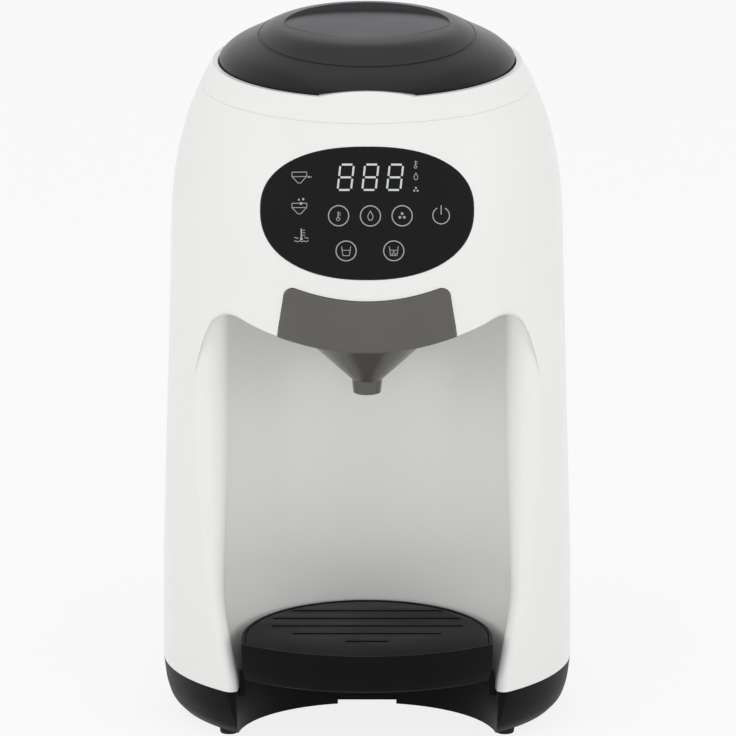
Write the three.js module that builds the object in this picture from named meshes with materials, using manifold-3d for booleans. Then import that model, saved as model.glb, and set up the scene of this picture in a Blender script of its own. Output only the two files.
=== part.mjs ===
// Automatic formula maker: a domed housing with a filling bay, a powder hopper with its
// dosing drive, a pull-out mixing funnel, a drip tray and a lift-off water tank.
// Millimetres, +Z up, the front faces -Y. Heights are measured from the standing surface.
import * as THREE from 'three';
import { mergeVertices } from 'three/addons/utils/BufferGeometryUtils.js';
import Module from 'manifold-3d';

const wasm = await Module();
wasm.setup();

// Driving sizes of the housing
const bodyWidth = 180;
const bodyRadius = bodyWidth / 2;
const skirtTop = 70;
const shoulderHeight = 211;
const shoulderDraft = 3.5;
const shoulderRadius = bodyRadius - shoulderDraft;
const domeHeight = 83.9;
const rimHeight = shoulderHeight + domeHeight;
const domePowerShare = 2.6;
const shellWall = 2.6;
const gap = 0.3;

// From the rim inwards: the collar, the lid and the hopper on its ledge, the dosing wheel in the hopper
const domeDraft = 18.3;
const rimRadius = shoulderRadius - domeDraft;
const rimWall = 2.6;
const collarInner = rimRadius - rimWall;
const lidClearance = 0.5;
const lidRadius = collarInner - lidClearance;
const lidBand = 2.1;
const lidRise = 16.6;
const lidPowerShare = 4.8;
const lidWall = 2.5;
const lidTop = rimHeight + lidBand + lidRise;
const ledgeWidth = 7.1;
const collarBore = collarInner - ledgeWidth;
const collarClearance = 3.7;
const hopperTopRadius = collarBore - collarClearance;
const hopperDraft = 3.8;
const hopperBottomRadius = hopperTopRadius - hopperDraft;
const hopperWall = 2.2;
const hopperFloor = 2.5;
const wheelClearance = 2.4;
const wheelRadius = hopperBottomRadius - hopperWall - wheelClearance;
const wheelThick = 10;
const wheelBand = 4.4;
const pocketOuter = wheelRadius - wheelBand;
const pocketInner = 24;
const pocketCount = 8;
const doseReach = (pocketOuter + pocketInner) / 2;

// The gears: the drive gear reaches as near to the chute as its clearance lets it
const driveTeeth = 24;
const pinionTeeth = 12;
const gearThick = 6;
const chuteBore = 10;
const chuteWall = 2;
const chuteClearance = 4.23;
const addendumShare = 0.9;
const dedendumShare = 1.15;
const driveReach = doseReach - chuteBore - chuteWall - chuteClearance;
const gearModule = (2 * driveReach) / (driveTeeth + 2 * addendumShare);
const driveRadius = (gearModule * driveTeeth) / 2;
const pinionRadius = (gearModule * pinionTeeth) / 2;
const meshBacklash = 0.15;
const motorY = driveRadius + pinionRadius + meshBacklash;
const gearboxRadius = 15;
const motorClearance = 2.75;
const bayRearTop = motorY - gearboxRadius - motorClearance - shellWall;

// Heights of the deck, of the chin over the bay and of the funnel
const deckDrop = 11;
const deckBottom = shoulderHeight - deckDrop;
const deckThick = 2.5;
const deckTop = deckBottom + deckThick;
const driveHeight = 23.5;
const hopperBottom = deckTop + driveHeight;
const chinDrop = 15.5;
const chinHeight = deckBottom - chinDrop;
const bowlRearGap = 5.2;
const funnelBowlRadius = doseReach + bayRearTop - bowlRearGap;
const spoutDrop = 32;
const spoutBottom = chinHeight - spoutDrop;
const spoutLength = 6.1;
const funnelConeBottom = spoutBottom + spoutLength;
const funnelConeShare = 1.065;
const spoutRadius = 6.7;
const spoutTipRadius = 6.1;
const funnelWall = 2;
const flangeWidth = 5.5;
const flangeReach = funnelBowlRadius + flangeWidth;
const plateMargin = 0.9;
const plateHalfTop = flangeReach + plateMargin;
const plateSpread = 2.3;
const plateHalfBottom = plateHalfTop + plateSpread;
const plateHeight = 24.8;
const plateTopHeight = chinHeight + plateHeight;
const plateTopCurveRadius = 116;
const plateCornerRadius = 4.5;

// Driving sizes of the base and its feet
const footHeight = 4;
const footRadius = 4.4;
const footTipRadius = 3.9;
const baseTop = 23.8;
const baseKneeDraft = 3.5;
const baseKneeRadius = bodyRadius - baseKneeDraft;
const baseToeDraft = 3.5;
const baseToeRadius = baseKneeRadius - baseToeDraft;
const baseKneeHeight = 7.4;
const baseFloor = 2.4;
const baseWall = 2.6;
const frontFootInset = 7.16;
const frontFootTurnShare = 0.2032;
const rearFootInset = 17.5;

// Driving sizes of the filling bay: fins beside it, a round front to the base, corners under the chin
const finDepth = 32.6;
const bayHalfWidthBottom = bodyRadius - finDepth;
const baySpread = 6.6;
const bayHalfWidthTop = bayHalfWidthBottom + baySpread;
const bayCentreBottom = -Math.sqrt(bodyRadius ** 2 - bayHalfWidthBottom ** 2);
const bayRearLean = 3.2;
const bayRearMiddle = bayRearTop - bayRearLean;
const bayStepDepth = 11.3;
const bayRearBottom = bayRearMiddle - bayStepDepth;
const finNoseBottom = 3.2;
const finNoseTop = 7.5;
const bayFullDrop = 28.5;
const bayFullHeight = chinHeight - bayFullDrop;
const bayCornerInset = 36;
const bayCornerX = bodyRadius - bayCornerInset;
const chinCornerRise = 9.35;
const chinCurveRadius = bayCornerX ** 2 / (2 * chinCornerRise);
const bayCornerControlInset = 18;
const bayCornerControlX = bodyRadius - bayCornerControlInset;
const bayCornerEndInset = 13;
const bayCornerEndX = bodyRadius - bayCornerEndInset;
const bayCornerEndDrop = 29.5;
const bayCornerEndZ = chinHeight - bayCornerEndDrop;

// Driving sizes of the drip tray
const trayBottom = 32;
const trayTop = 49;
const traySideGap = 2;
const trayHalfWidth = bayHalfWidthBottom - traySideGap;
const trayFrontBulge = 29.6;
const trayFrontRadius = trayHalfWidth + trayFrontBulge;
const trayReach = 7;
const trayFrontY = -bodyRadius - trayReach;
const trayRearGap = 2.4;
const trayRearY = bayRearMiddle - trayRearGap;

// Driving sizes of the rear: the flat back, the tank and the shelf that carries it
const backInset = 0.2;
const backPlane = rimRadius - backInset;
const rearCoverThick = 3;
const coverY = backPlane + gap;
const dockFront = coverY + rearCoverThick + gap;
const tankFrontGap = 1;
const tankFront = dockFront + tankFrontGap;
const tankDepth = 66.4;
const tankRear = tankFront + tankDepth;
const tankHalfWidth = 61;
const tankRise = 28.7;
const tankTop = shoulderHeight + tankRise;
const tankWall = 2.2;
const tankCornerRadius = 30;
const shelfMargin = 2.5;

// Facets
const roundSides = 40;
const middleSides = 32;
const smallSides = 16;
const tinySides = 10;
const weldDistance = 0.0001;
const overrun = 2;
// How far a joined form reaches into the form that carries it
const bite = 1;
// A round wall of these many facets comes this much nearer to its axis between the corners
const middleFacetShare = Math.cos(Math.PI / middleSides);

// Finishes
const finish = (color, roughness, metalness = 0) =>
  new THREE.MeshStandardMaterial({ color, roughness, metalness, flatShading: true });
const glossWhite = finish(0xefefee, 0.22);
const glossGraphite = finish(0x2b2c2e, 0.3);
const satinBlack = finish(0x161617, 0.45);
const panelGlass = finish(0x1c1c1e, 0.08);
const smokyClear = finish(0x6a6864, 0.15);
const clearPlastic = finish(0xc8d4dc, 0.12);
const rubberBlack = finish(0x121212, 0.85);
const nylonWhite = finish(0xe4e2da, 0.5);
const steel = finish(0xb9bcc0, 0.3, 1);
const castAluminium = finish(0xa5a8ab, 0.5, 1);
const boardGreen = finish(0x1e5a36, 0.55);
const siliconeHose = finish(0xdcdcd6, 0.5);

// Closed meshes and their joins and cuts

function signedVolume(points, corners) {
  const a = new THREE.Vector3();
  const b = new THREE.Vector3();
  const c = new THREE.Vector3();
  let sum = 0;
  for (let i = 0; i < corners.length; i += 3) {
    a.fromArray(points, corners[i] * 3);
    b.fromArray(points, corners[i + 1] * 3);
    c.fromArray(points, corners[i + 2] * 3);
    sum += a.dot(b.cross(c));
  }
  return sum;
}

function toSolid(geometry) {
  const bare = new THREE.BufferGeometry();
  bare.setAttribute('position', geometry.getAttribute('position'));
  bare.setIndex(geometry.index);
  const merged = mergeVertices(bare, weldDistance);
  const points = new Float32Array(merged.getAttribute('position').array);
  const index = merged.index.array;
  const corners = [];
  for (let i = 0; i < index.length; i += 3) {
    const [a, b, c] = [index[i], index[i + 1], index[i + 2]];
    if (a !== b && b !== c && c !== a) corners.push(a, b, c);
  }
  if (signedVolume(points, corners) < 0) corners.reverse();
  const mesh = new wasm.Mesh({ numProp: 3, vertProperties: points, triVerts: new Uint32Array(corners) });
  return new wasm.Manifold(mesh);
}

const unite = (first, ...others) => others.reduce((whole, solid) => whole.add(solid), first);
const cut = (first, ...others) => others.reduce((whole, solid) => whole.subtract(solid), first);

function piece(name, solid, material) {
  const got = solid.getMesh();
  const geometry = new THREE.BufferGeometry();
  geometry.setAttribute('position', new THREE.BufferAttribute(got.vertProperties, got.numProp));
  geometry.setIndex(new THREE.BufferAttribute(got.triVerts, 1));
  geometry.computeVertexNormals();
  const mesh = new THREE.Mesh(geometry, material);
  mesh.name = name;
  return mesh;
}

// Basic forms, each standing along Z unless its name says otherwise

function box(x0, x1, y0, y1, z0, z1) {
  const form = new THREE.BoxGeometry(x1 - x0, y1 - y0, z1 - z0);
  return toSolid(form.translate((x0 + x1) / 2, (y0 + y1) / 2, (z0 + z1) / 2));
}

function cylinder(radius, z0, z1, { x = 0, y = 0, sides = smallSides, topRadius = radius } = {}) {
  const form = new THREE.CylinderGeometry(topRadius, radius, z1 - z0, sides);
  return toSolid(form.rotateX(Math.PI / 2).translate(x, y, (z0 + z1) / 2));
}

function rodAlongX(radius, x0, x1, y, z, sides = tinySides) {
  const form = new THREE.CylinderGeometry(radius, radius, x1 - x0, sides);
  return toSolid(form.rotateZ(Math.PI / 2).translate((x0 + x1) / 2, y, z));
}

function rodAlongY(radius, y0, y1, x, z, sides = tinySides) {
  const form = new THREE.CylinderGeometry(radius, radius, y1 - y0, sides);
  return toSolid(form.translate(x, (y0 + y1) / 2, z));
}

function revolve(profile, { sides = roundSides, x = 0, y = 0 } = {}) {
  const points = profile.map(([radius, height]) => new THREE.Vector2(radius, height));
  return toSolid(new THREE.LatheGeometry(points, sides).rotateX(Math.PI / 2).translate(x, y, 0));
}

const shapeOf = (outline) => new THREE.Shape(outline.map(([x, y]) => new THREE.Vector2(x, y)));

function prismUp(outline, z0, z1) {
  const form = new THREE.ExtrudeGeometry(shapeOf(outline), { depth: z1 - z0, bevelEnabled: false });
  return toSolid(form.translate(0, 0, z0));
}

// An outline of (x, z) points drawn along Y
function prismAlongY(outline, y0, y1) {
  const form = new THREE.ExtrudeGeometry(shapeOf(outline), { depth: y1 - y0, bevelEnabled: false });
  return toSolid(form.rotateX(Math.PI / 2).translate(0, y1, 0));
}

// An outline of (y, z) points drawn along X
function prismAlongX(outline, x0, x1) {
  const form = new THREE.ExtrudeGeometry(shapeOf(outline), { depth: x1 - x0, bevelEnabled: false });
  const turn = new THREE.Matrix4().makeBasis(
    new THREE.Vector3(0, 1, 0), new THREE.Vector3(0, 0, 1), new THREE.Vector3(1, 0, 0));
  return toSolid(form.applyMatrix4(turn).translate(x0, 0, 0));
}

// A skin through level outlines that all have the same number of points
function loft(outlines, heights) {
  const count = outlines[0].length;
  const points = outlines.flatMap((outline, level) => outline.flatMap(([x, y]) => [x, y, heights[level]]));
  const corners = [];
  for (let level = 0; level < outlines.length - 1; level += 1) {
    for (let i = 0; i < count; i += 1) {
      const next = (i + 1) % count;
      const low = level * count;
      const high = low + count;
      corners.push(low + i, low + next, high + next, low + i, high + next, high + i);
    }
  }
  const cap = (outline) =>
    THREE.ShapeUtils.triangulateShape(outline.map(([x, y]) => new THREE.Vector2(x, y)), []);
  const last = (outlines.length - 1) * count;
  for (const [a, b, c] of cap(outlines[0])) corners.push(c, b, a);
  for (const [a, b, c] of cap(outlines[outlines.length - 1])) corners.push(last + a, last + b, last + c);
  const form = new THREE.BufferGeometry();
  form.setAttribute('position', new THREE.Float32BufferAttribute(points, 3));
  form.setIndex(corners);
  return toSolid(form);
}

// A round tube through points, ended square
function tube(places, radius, { sides = 6, steps = 20 } = {}) {
  const route = new THREE.CatmullRomCurve3(places.map(([x, y, z]) => new THREE.Vector3(x, y, z)));
  const section = new THREE.Shape(ring(radius, sides).map(([x, y]) => new THREE.Vector2(x, y)));
  return toSolid(new THREE.ExtrudeGeometry(section, { steps, extrudePath: route, bevelEnabled: false }));
}

// Outlines

const mix = (a, b, share) => a + (b - a) * share;
const smooth = (from, to, value) => THREE.MathUtils.smoothstep(value, from, to);
const between = (count, make) => Array.from({ length: count + 1 }, (_, i) => make(i / count));

function ring(radius, sides, cx = 0, cy = 0) {
  return Array.from({ length: sides }, (_, i) => {
    const turn = (i / sides) * 2 * Math.PI;
    return [cx + radius * Math.cos(turn), cy + radius * Math.sin(turn)];
  });
}

function superellipse(halfWidth, halfHeight, cz, power, sides) {
  return ring(1, sides).map(([c, s]) => [
    halfWidth * Math.sign(c) * Math.abs(c) ** (2 / power),
    cz + halfHeight * Math.sign(s) * Math.abs(s) ** (2 / power)]);
}

// A rectangle with rounded corners, from its sides and its corner radius
function roundedRectangle(x0, x1, y0, y1, radius, steps = 5) {
  const corners = [[x1 - radius, y0 + radius, -0.5], [x1 - radius, y1 - radius, 0],
    [x0 + radius, y1 - radius, 0.5], [x0 + radius, y0 + radius, 1]];
  return corners.flatMap(([cx, cy, startShare]) => between(steps, (share) => {
    const turn = (startShare + share / 2) * Math.PI;
    return [cx + radius * Math.cos(turn), cy + radius * Math.sin(turn)];
  }));
}

// The housing's outside radius at a height: straight skirt, slight draft, then the dome
function shellRadius(z) {
  if (z <= skirtTop) return bodyRadius;
  if (z <= shoulderHeight) {
    return mix(bodyRadius, shoulderRadius, (z - skirtTop) / (shoulderHeight - skirtTop));
  }
  const climb = (z - shoulderHeight) / (rimHeight - shoulderHeight);
  return rimRadius + (shoulderRadius - rimRadius) * (1 - climb ** domePowerShare);
}

const domeSteps = 5;
const innerDomeSteps = 4;
function shellHeights(bottom, top, steps) {
  const dome = between(steps, (share) => mix(shoulderHeight, top, share));
  return [bottom, skirtTop, ...dome];
}

// A full round solid inside the housing's outline, smaller by an inset
function shellSolid(inset, bottom, top, steps = domeSteps) {
  const wallPoints = shellHeights(bottom, top, steps).map((z) => [shellRadius(z) - inset, z]);
  return revolve([[0, bottom], ...wallPoints, [0, top]]);
}

// The same, carried straight on past both ends, to be cut away
function shellCutter(inset, bottom, top, { steps = domeSteps, sides = roundSides } = {}) {
  const wallPoints = shellHeights(bottom, top, steps).map((z) => [shellRadius(z) - inset, z]);
  const first = [wallPoints[0][0], bottom - overrun];
  const last = [wallPoints[wallPoints.length - 1][0], top + overrun];
  return revolve([[0, bottom - overrun], first, ...wallPoints, last, [0, top + overrun]], { sides });
}

// The bay in plan at a height: a half ellipse at the rear that turns out round each fin's nose.
// An inset makes the same outline for the liner's outer side.
const rearSteps = 9;
const noseSteps = 3;
const baySearchRounds = 30;
const bayReachShare = 1.6;

function bayOutline(z, inset = 0, radiusAt = shellRadius(z)) {
  const side = mix(bayHalfWidthBottom, bayHalfWidthTop, smooth(baseTop, skirtTop, z));
  const lower = mix(bayRearBottom, bayRearMiddle, smooth(baseTop, trayBottom, z));
  const rear = lower + (bayRearTop - bayRearMiddle) * smooth(trayBottom, bayFullHeight, z);
  const nose = mix(finNoseBottom, finNoseTop, smooth(baseTop, bayFullHeight, z));
  const centreY = -Math.sqrt(radiusAt ** 2 - side ** 2);
  const depth = rear - centreY;
  // A point of the rear wall and its outward normal, by the turn from the rear's middle
  const wallAt = (turn) => {
    const point = new THREE.Vector2(side * Math.sin(turn), centreY + depth * Math.cos(turn));
    const normal = new THREE.Vector2(Math.sin(turn) / side, Math.cos(turn) / depth).normalize();
    return { point, normal };
  };
  const noseCentreAt = (turn) => {
    const { point, normal } = wallAt(turn);
    return point.clone().addScaledVector(normal, nose);
  };
  let [low, high] = [Math.PI / 4, Math.PI / 2];
  for (let round = 0; round < baySearchRounds; round += 1) {
    const middle = (low + high) / 2;
    if (noseCentreAt(middle).length() < radiusAt - nose) low = middle;
    else high = middle;
  }
  const centre = noseCentreAt(low);
  const insideTurn = Math.atan2(-wallAt(low).normal.y, -wallAt(low).normal.x);
  const outsideTurn = Math.atan2(centre.y, centre.x);
  const sweep = THREE.MathUtils.euclideanModulo(outsideTurn - insideTurn, 2 * Math.PI);
  const noseRadius = nose - inset;
  const half = between(rearSteps, (share) => {
    const { point, normal } = wallAt(low * share);
    return [point.x + normal.x * inset, point.y + normal.y * inset];
  });
  for (let i = 1; i <= noseSteps; i += 1) {
    const turn = insideTurn + sweep * (i / noseSteps);
    half.push([centre.x + noseRadius * Math.cos(turn), centre.y + noseRadius * Math.sin(turn)]);
  }
  const reach = bodyRadius * bayReachShare;
  half.push([reach, centre.y - reach / 2], [reach, -reach]);
  const mirrored = half.slice(1).reverse().map(([x, y]) => [-x, y]);
  return [...half, ...mirrored].reverse();
}

// The bay's front view: everything under the chin's curve and its two round corners
const chinSteps = 10;
const cornerSteps = 5;
const chinAt = (x) => chinHeight + x ** 2 / (2 * chinCurveRadius);

function bayFrontOutline(inset = 0) {
  const right = between(chinSteps / 2, (share) => [bayCornerX * share, chinAt(bayCornerX * share) + inset]);
  const bend = new THREE.QuadraticBezierCurve(
    new THREE.Vector2(bayCornerX, chinAt(bayCornerX) + inset),
    new THREE.Vector2(bayCornerControlX, deckBottom + inset),
    new THREE.Vector2(bayCornerEndX + inset, bayCornerEndZ));
  const corner = bend.getPoints(cornerSteps).slice(1).map((point) => [point.x, point.y]);
  const half = [...right, ...corner, [bodyRadius + overrun, skirtTop], [bodyRadius + overrun, 0]];
  const mirrored = half.slice(1).reverse().map(([x, z]) => [-x, z]);
  return [...half, ...mirrored];
}

const bayMiddleShare = 0.5;
const bayLevels = [baseTop, mix(baseTop, trayBottom, bayMiddleShare), trayBottom, trayTop, skirtTop,
  mix(skirtTop, bayFullHeight, bayMiddleShare), bayFullHeight, shoulderHeight];

function baySolid(inset = 0) {
  const plans = bayLevels.map((z) => bayOutline(z, inset));
  const column = loft([plans[0], ...plans], [baseTop - overrun, ...bayLevels]);
  return column.intersect(prismAlongY(bayFrontOutline(inset), -2 * bodyRadius, backPlane));
}

// Base pan: tapered skirt, concave front between the fins, shelf for the tank, ledge for the tray
const shelfRear = tankRear + shelfMargin;
const shelfHalfWidth = tankHalfWidth + shelfMargin;
const shelfCornerRadius = tankCornerRadius + shelfMargin;
const baseShoulderDraft = 1.3;
const baseShoulderRadius = bodyRadius - baseShoulderDraft;
const baseShoulderHeight = 14;
const notchHalfWidth = 12.9;
const notchHeight = 4;
const ledgeInset = 0.5;
const ledgeOuter = bayHalfWidthBottom - ledgeInset;
const ledgeReach = 6.9;
const ledgeInner = ledgeOuter - ledgeReach;
const ledgeNeckWall = 2.3;
const ledgeNeck = ledgeOuter - ledgeNeckWall;
const ledgeRootWall = 1.6;
const ledgeRoot = bayHalfWidthBottom + ledgeRootWall;
const ledgeRootDepth = 2.8;
const ledgeThick = 3.4;
const ledgeFrontInset = 9.3;
const ledgeFrontY = bayCentreBottom + ledgeFrontInset;
const inletX = 30;
const inletHalfWidth = 11;
const inletHeight = 12;
const inletTopInset = 3.8;
const inletTop = baseTop - inletTopInset;
const inletBottom = inletTop - inletHeight;
const inletDepth = 17;
const inletFaceInset = 3;
const inletFace = shelfRear - inletFaceInset;
const inletClearance = 0.4;
const baseSkirt = [[baseToeRadius, footHeight], [baseKneeRadius, baseKneeHeight],
  [baseShoulderRadius, baseShoulderHeight], [bodyRadius, baseTop]];

function baseForm(inset, bottom, top, skirt = baseSkirt) {
  const profile = skirt.map(([radius, z]) => [radius - inset, Math.max(z, bottom)]);
  const dish = revolve([[0, bottom], ...profile, [bodyRadius - inset, top], [0, top]]);
  const shelfAt = ([radius]) => {
    const draw = bodyRadius - radius + inset;
    return roundedRectangle(-shelfHalfWidth + draw, shelfHalfWidth - draw, 0, shelfRear - draw,
      shelfCornerRadius - draw);
  };
  const outlines = skirt.map(shelfAt);
  const heights = skirt.map(([, z]) => Math.max(z, bottom));
  outlines.push(outlines[outlines.length - 1]);
  heights.push(top);
  return unite(dish, loft(outlines, heights));
}

function basePan() {
  const overTop = baseTop + overrun;
  const insideBottom = footHeight + baseFloor;
  const bayPlan = bayOutline(baseTop);
  const linerPlan = bayOutline(baseTop, baseWall);
  const straightSkirt = [[baseKneeRadius, insideBottom], baseSkirt[baseSkirt.length - 1]];
  const hollow = baseForm(baseWall, insideBottom, overTop, straightSkirt).subtract(
    prismUp(linerPlan, 0, overTop + overrun));
  const outside = baseForm(0, footHeight, overTop).intersect(
    box(-bodyRadius, bodyRadius, -bodyRadius, shelfRear, 0, baseTop));
  const ledgeTop = trayBottom - gap;
  const ledge = revolve([[ledgeInner, ledgeTop - ledgeThick], [ledgeNeck, ledgeTop - ledgeThick],
    [ledgeNeck, baseTop - ledgeRootDepth], [ledgeRoot, baseTop - ledgeRootDepth], [ledgeRoot, baseTop],
    [ledgeOuter, baseTop], [ledgeOuter, ledgeTop], [ledgeInner, ledgeTop],
    [ledgeInner, ledgeTop - ledgeThick]], { y: bayCentreBottom }).intersect(
    box(-bodyRadius, bodyRadius, ledgeFrontY, 0, 0, ledgeTop)).intersect(
    unite(box(-bodyRadius, bodyRadius, -bodyRadius, bodyRadius, 0, baseTop),
      prismUp(bayOutline(baseTop, -gap), baseTop, ledgeTop)));
  const notch = box(-notchHalfWidth, notchHalfWidth, bayRearBottom - baseWall, bayRearBottom + 2 * baseWall,
    0, footHeight + notchHeight);
  const inletHole = box(inletX - inletHalfWidth - inletClearance, inletX + inletHalfWidth + inletClearance,
    inletFace - inletDepth - inletClearance, shelfRear + overrun,
    inletBottom - inletClearance, inletTop + inletClearance);
  const shell = cut(outside, hollow, prismUp(bayPlan, 0, overTop + overrun), notch, inletHole);
  return unite(shell, ledge);
}

function foot() {
  return cylinder(footTipRadius, 0, footHeight - gap, { topRadius: footRadius });
}

// Main shell: domed housing with the bay, the seat of the panel and the funnel's opening
const collarHeight = 9.9;
const seamHeight = rimHeight - collarHeight;
const shellBottom = baseTop + gap;
const shellTop = seamHeight - gap / 2;
const panelHalfWidth = 46.9;
const panelTopMargin = 8.6;
const panelTop = seamHeight - panelTopMargin;
const panelBottomMargin = 8.8;
const panelBottom = plateTopHeight + panelBottomMargin;
const panelHalfHeight = (panelTop - panelBottom) / 2;
const panelHeight = (panelTop + panelBottom) / 2;
const panelPowerShare = 2.4;
const panelSeatDepth = 1.6;
const panelProud = 0.3;
const panelSides = 32;
const windowLeftInset = 19.9;
const windowLeft = windowLeftInset - panelHalfWidth;
const windowRightInset = 13.9;
const windowRight = panelHalfWidth - windowRightInset;
const windowBottomInset = 17.9;
const windowBottom = panelBottom + windowBottomInset;
const windowTopInset = 8.4;
const windowTop = panelTop - windowTopInset;
const boardSideInset = 12.9;
const boardHalfWidth = panelHalfWidth - boardSideInset;
const boardBottomInset = 3.9;
const boardBottom = panelBottom + boardBottomInset;
const boardTopInset = 6.4;
const boardTop = panelTop - boardTopInset;
const boardClearance = 3.2;
const boardThick = 1.6;
const bossInset = 4;
const bossRadius = 3;
const funnelY = -doseReach;
const plateClearance = 0.4;
const bowlClearance = 1.2;
const plateCutDepth = 18;
const plateCutBack = plateCutDepth - bodyRadius;

// The board stands clear of the round wall at its upper corners
const boardWallRadius = (shellRadius(boardTop) - shellWall) * middleFacetShare;
const boardFront = boardClearance - Math.sqrt(boardWallRadius ** 2 - boardHalfWidth ** 2);

function plateOutline(grow = 0, drop = 0) {
  const top = (x) => plateTopHeight + x ** 2 / (2 * plateTopCurveRadius) + grow;
  const topEnd = plateHalfTop - plateCornerRadius;
  const cornerTop = top(topEnd);
  const upper = between(6, (share) => [topEnd * share, top(topEnd * share)]);
  const corner = between(4, (share) => {
    const turn = (1 - share) * (Math.PI / 2);
    return [topEnd + (plateCornerRadius + grow) * Math.cos(turn),
      cornerTop - plateCornerRadius + plateCornerRadius * Math.sin(turn)];
  }).slice(1);
  const lower = between(5, (share) => {
    const x = plateHalfBottom * (1 - share);
    return [x > 0 ? x + grow : 0, chinAt(x) - drop];
  });
  const half = [...upper, ...corner, ...lower];
  const mirrored = half.slice(1, -1).reverse().map(([x, z]) => [-x, z]);
  return [...half, ...mirrored];
}

function mainShell() {
  const outer = shellSolid(0, shellBottom, shellTop);
  const inner = shellCutter(shellWall, shellBottom, shellTop, { steps: innerDomeSteps, sides: middleSides });
  const hollow = inner.subtract(baySolid(shellWall));
  const bosses = [-1, 1].flatMap((side) => [boardBottom + bossInset, boardTop - bossInset].map((z) =>
    rodAlongY(bossRadius, -bodyRadius, boardFront - gap, side * (boardHalfWidth - bossInset), z)));
  const walls = unite(cut(outer, hollow), ...bosses.map((boss) => boss.intersect(outer)));
  const panelOutline = superellipse(panelHalfWidth + gap, panelHalfHeight + gap, panelHeight, panelPowerShare,
    panelSides);
  const panelSeat = prismAlongY(panelOutline, -bodyRadius - overrun, 0).subtract(
    shellSolid(panelSeatDepth, shellBottom, shellTop));
  const window = prismAlongY(roundedRectangle(windowLeft, windowRight, windowBottom, windowTop, bossRadius),
    -bodyRadius, boardFront);
  const plateHole = prismAlongY(plateOutline(plateClearance, shellWall), -bodyRadius - overrun, plateCutBack);
  const bowlReach = funnelBowlRadius + bowlClearance;
  const bowlHole = unite(
    cylinder(bowlReach, bayCornerEndZ, deckBottom, { y: funnelY, sides: middleSides }),
    box(-bowlReach, bowlReach, plateCutBack - overrun, funnelY, bayCornerEndZ, deckBottom));
  const behind = box(-bodyRadius, bodyRadius, backPlane, 2 * bodyRadius, 0, rimHeight);
  return cut(walls, baySolid(), panelSeat, window, plateHole, bowlHole, behind);
}

// Top collar: carries the lid and the hopper on one ledge, with a raised tab at the front
const collarBottom = seamHeight + gap / 2;
const collarLedgeDepth = 6.6;
const collarLedge = rimHeight - collarLedgeDepth;
const collarSkirtDepth = 4;
const collarSkirtWall = 2;
const tabHalfWidth = 21.2;
const tabRise = 4;
const tabDepth = 5;
const tabRoot = 3.7;
const tabBottom = rimHeight - tabRoot;
const tabShoulderInset = 1.6;
const tabShoulderRadius = rimRadius - tabShoulderInset;
const tabShoulderRise = 2.2;
const tabShoulderHeight = rimHeight + tabShoulderRise;
const tabSteps = 8;
const tabClearance = 0.4;

function tabOutline(grow, bottom) {
  const radius = (tabHalfWidth ** 2 + tabRise ** 2) / (2 * tabRise);
  const centreZ = rimHeight + tabRise - radius;
  const halfTurn = Math.asin(tabHalfWidth / radius);
  const arc = between(tabSteps, (share) => {
    const turn = mix(-halfTurn, halfTurn, share);
    return [(radius + grow) * Math.sin(turn) * (1 + grow / radius),
      centreZ + (radius + grow) * Math.cos(turn)];
  });
  return [[-tabHalfWidth - 2 * grow, bottom], ...arc, [tabHalfWidth + 2 * grow, bottom]].reverse();
}

function lidDomeAt(radius) {
  return rimHeight + lidBand + lidRise * (1 - (radius / lidRadius) ** lidPowerShare);
}

function topCollar() {
  const skirtOuter = (shellRadius(shellTop) - shellWall) * middleFacetShare - gap;
  const wall = [collarBottom, rimHeight].map((z) => [shellRadius(z), z]);
  const body = revolve([[collarBore, collarBottom], [skirtOuter - collarSkirtWall, collarBottom],
    [skirtOuter - collarSkirtWall, collarBottom - collarSkirtDepth],
    [skirtOuter, collarBottom - collarSkirtDepth],
    [skirtOuter, collarBottom], ...wall, [collarInner, rimHeight], [collarInner, collarLedge],
    [collarBore, collarLedge], [collarBore, collarBottom]]);
  const tabInner = lidRadius - tabDepth;
  const slope = revolve([[0, tabBottom], [rimRadius, tabBottom], [rimRadius, rimHeight],
    [tabShoulderRadius, tabShoulderHeight], [tabInner, lidDomeAt(tabInner)], [0, lidDomeAt(tabInner)]]);
  const tab = prismAlongY(tabOutline(0, tabBottom), -bodyRadius, -tabInner).intersect(slope);
  const behind = box(-bodyRadius, bodyRadius, backPlane + rearCoverThick + gap, bodyRadius, 0, lidTop);
  const skirtBehind = box(-bodyRadius, bodyRadius, backPlane - gap, bodyRadius, 0, collarBottom);
  return cut(unite(body, tab), behind, skirtBehind);
}

// Rear cover: closes the flat back of the shell, with standoffs for the power board
const coverSteps = 6;
const coverLipDepth = 3;
const coverLipWall = 2.2;
const coverLipInset = shellWall + 4 * gap;
const deckRestInset = 22.9;
const deckRestDepth = 7;
const deckRestThick = 3;
const powerBoardWidth = 40;
const powerBoardInset = 8.9;
const powerBoardBottom = 92;
const powerBoardDrop = 32;
const powerBoardTop = deckBottom - powerBoardDrop;
const powerBoardDepth = 8;
const powerBoardBack = backPlane - powerBoardDepth;
const boardRoomHalf = Math.sqrt((shoulderRadius - shellWall) ** 2 - (powerBoardBack + boardThick) ** 2);
const deckRestHalfWidth = boardRoomHalf - deckRestInset;
const powerBoardLeft = powerBoardInset - boardRoomHalf;
const powerBoardRight = powerBoardLeft + powerBoardWidth;
const standoffRadius = 3;

// Where the dome leans in past the flat back, the cover ends below it
function domeHeightAt(radius) {
  const leanShare = Math.max((shoulderRadius - radius) / (shoulderRadius - rimRadius), 0);
  return shoulderHeight + domeHeight * leanShare ** (1 / domePowerShare);
}

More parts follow.
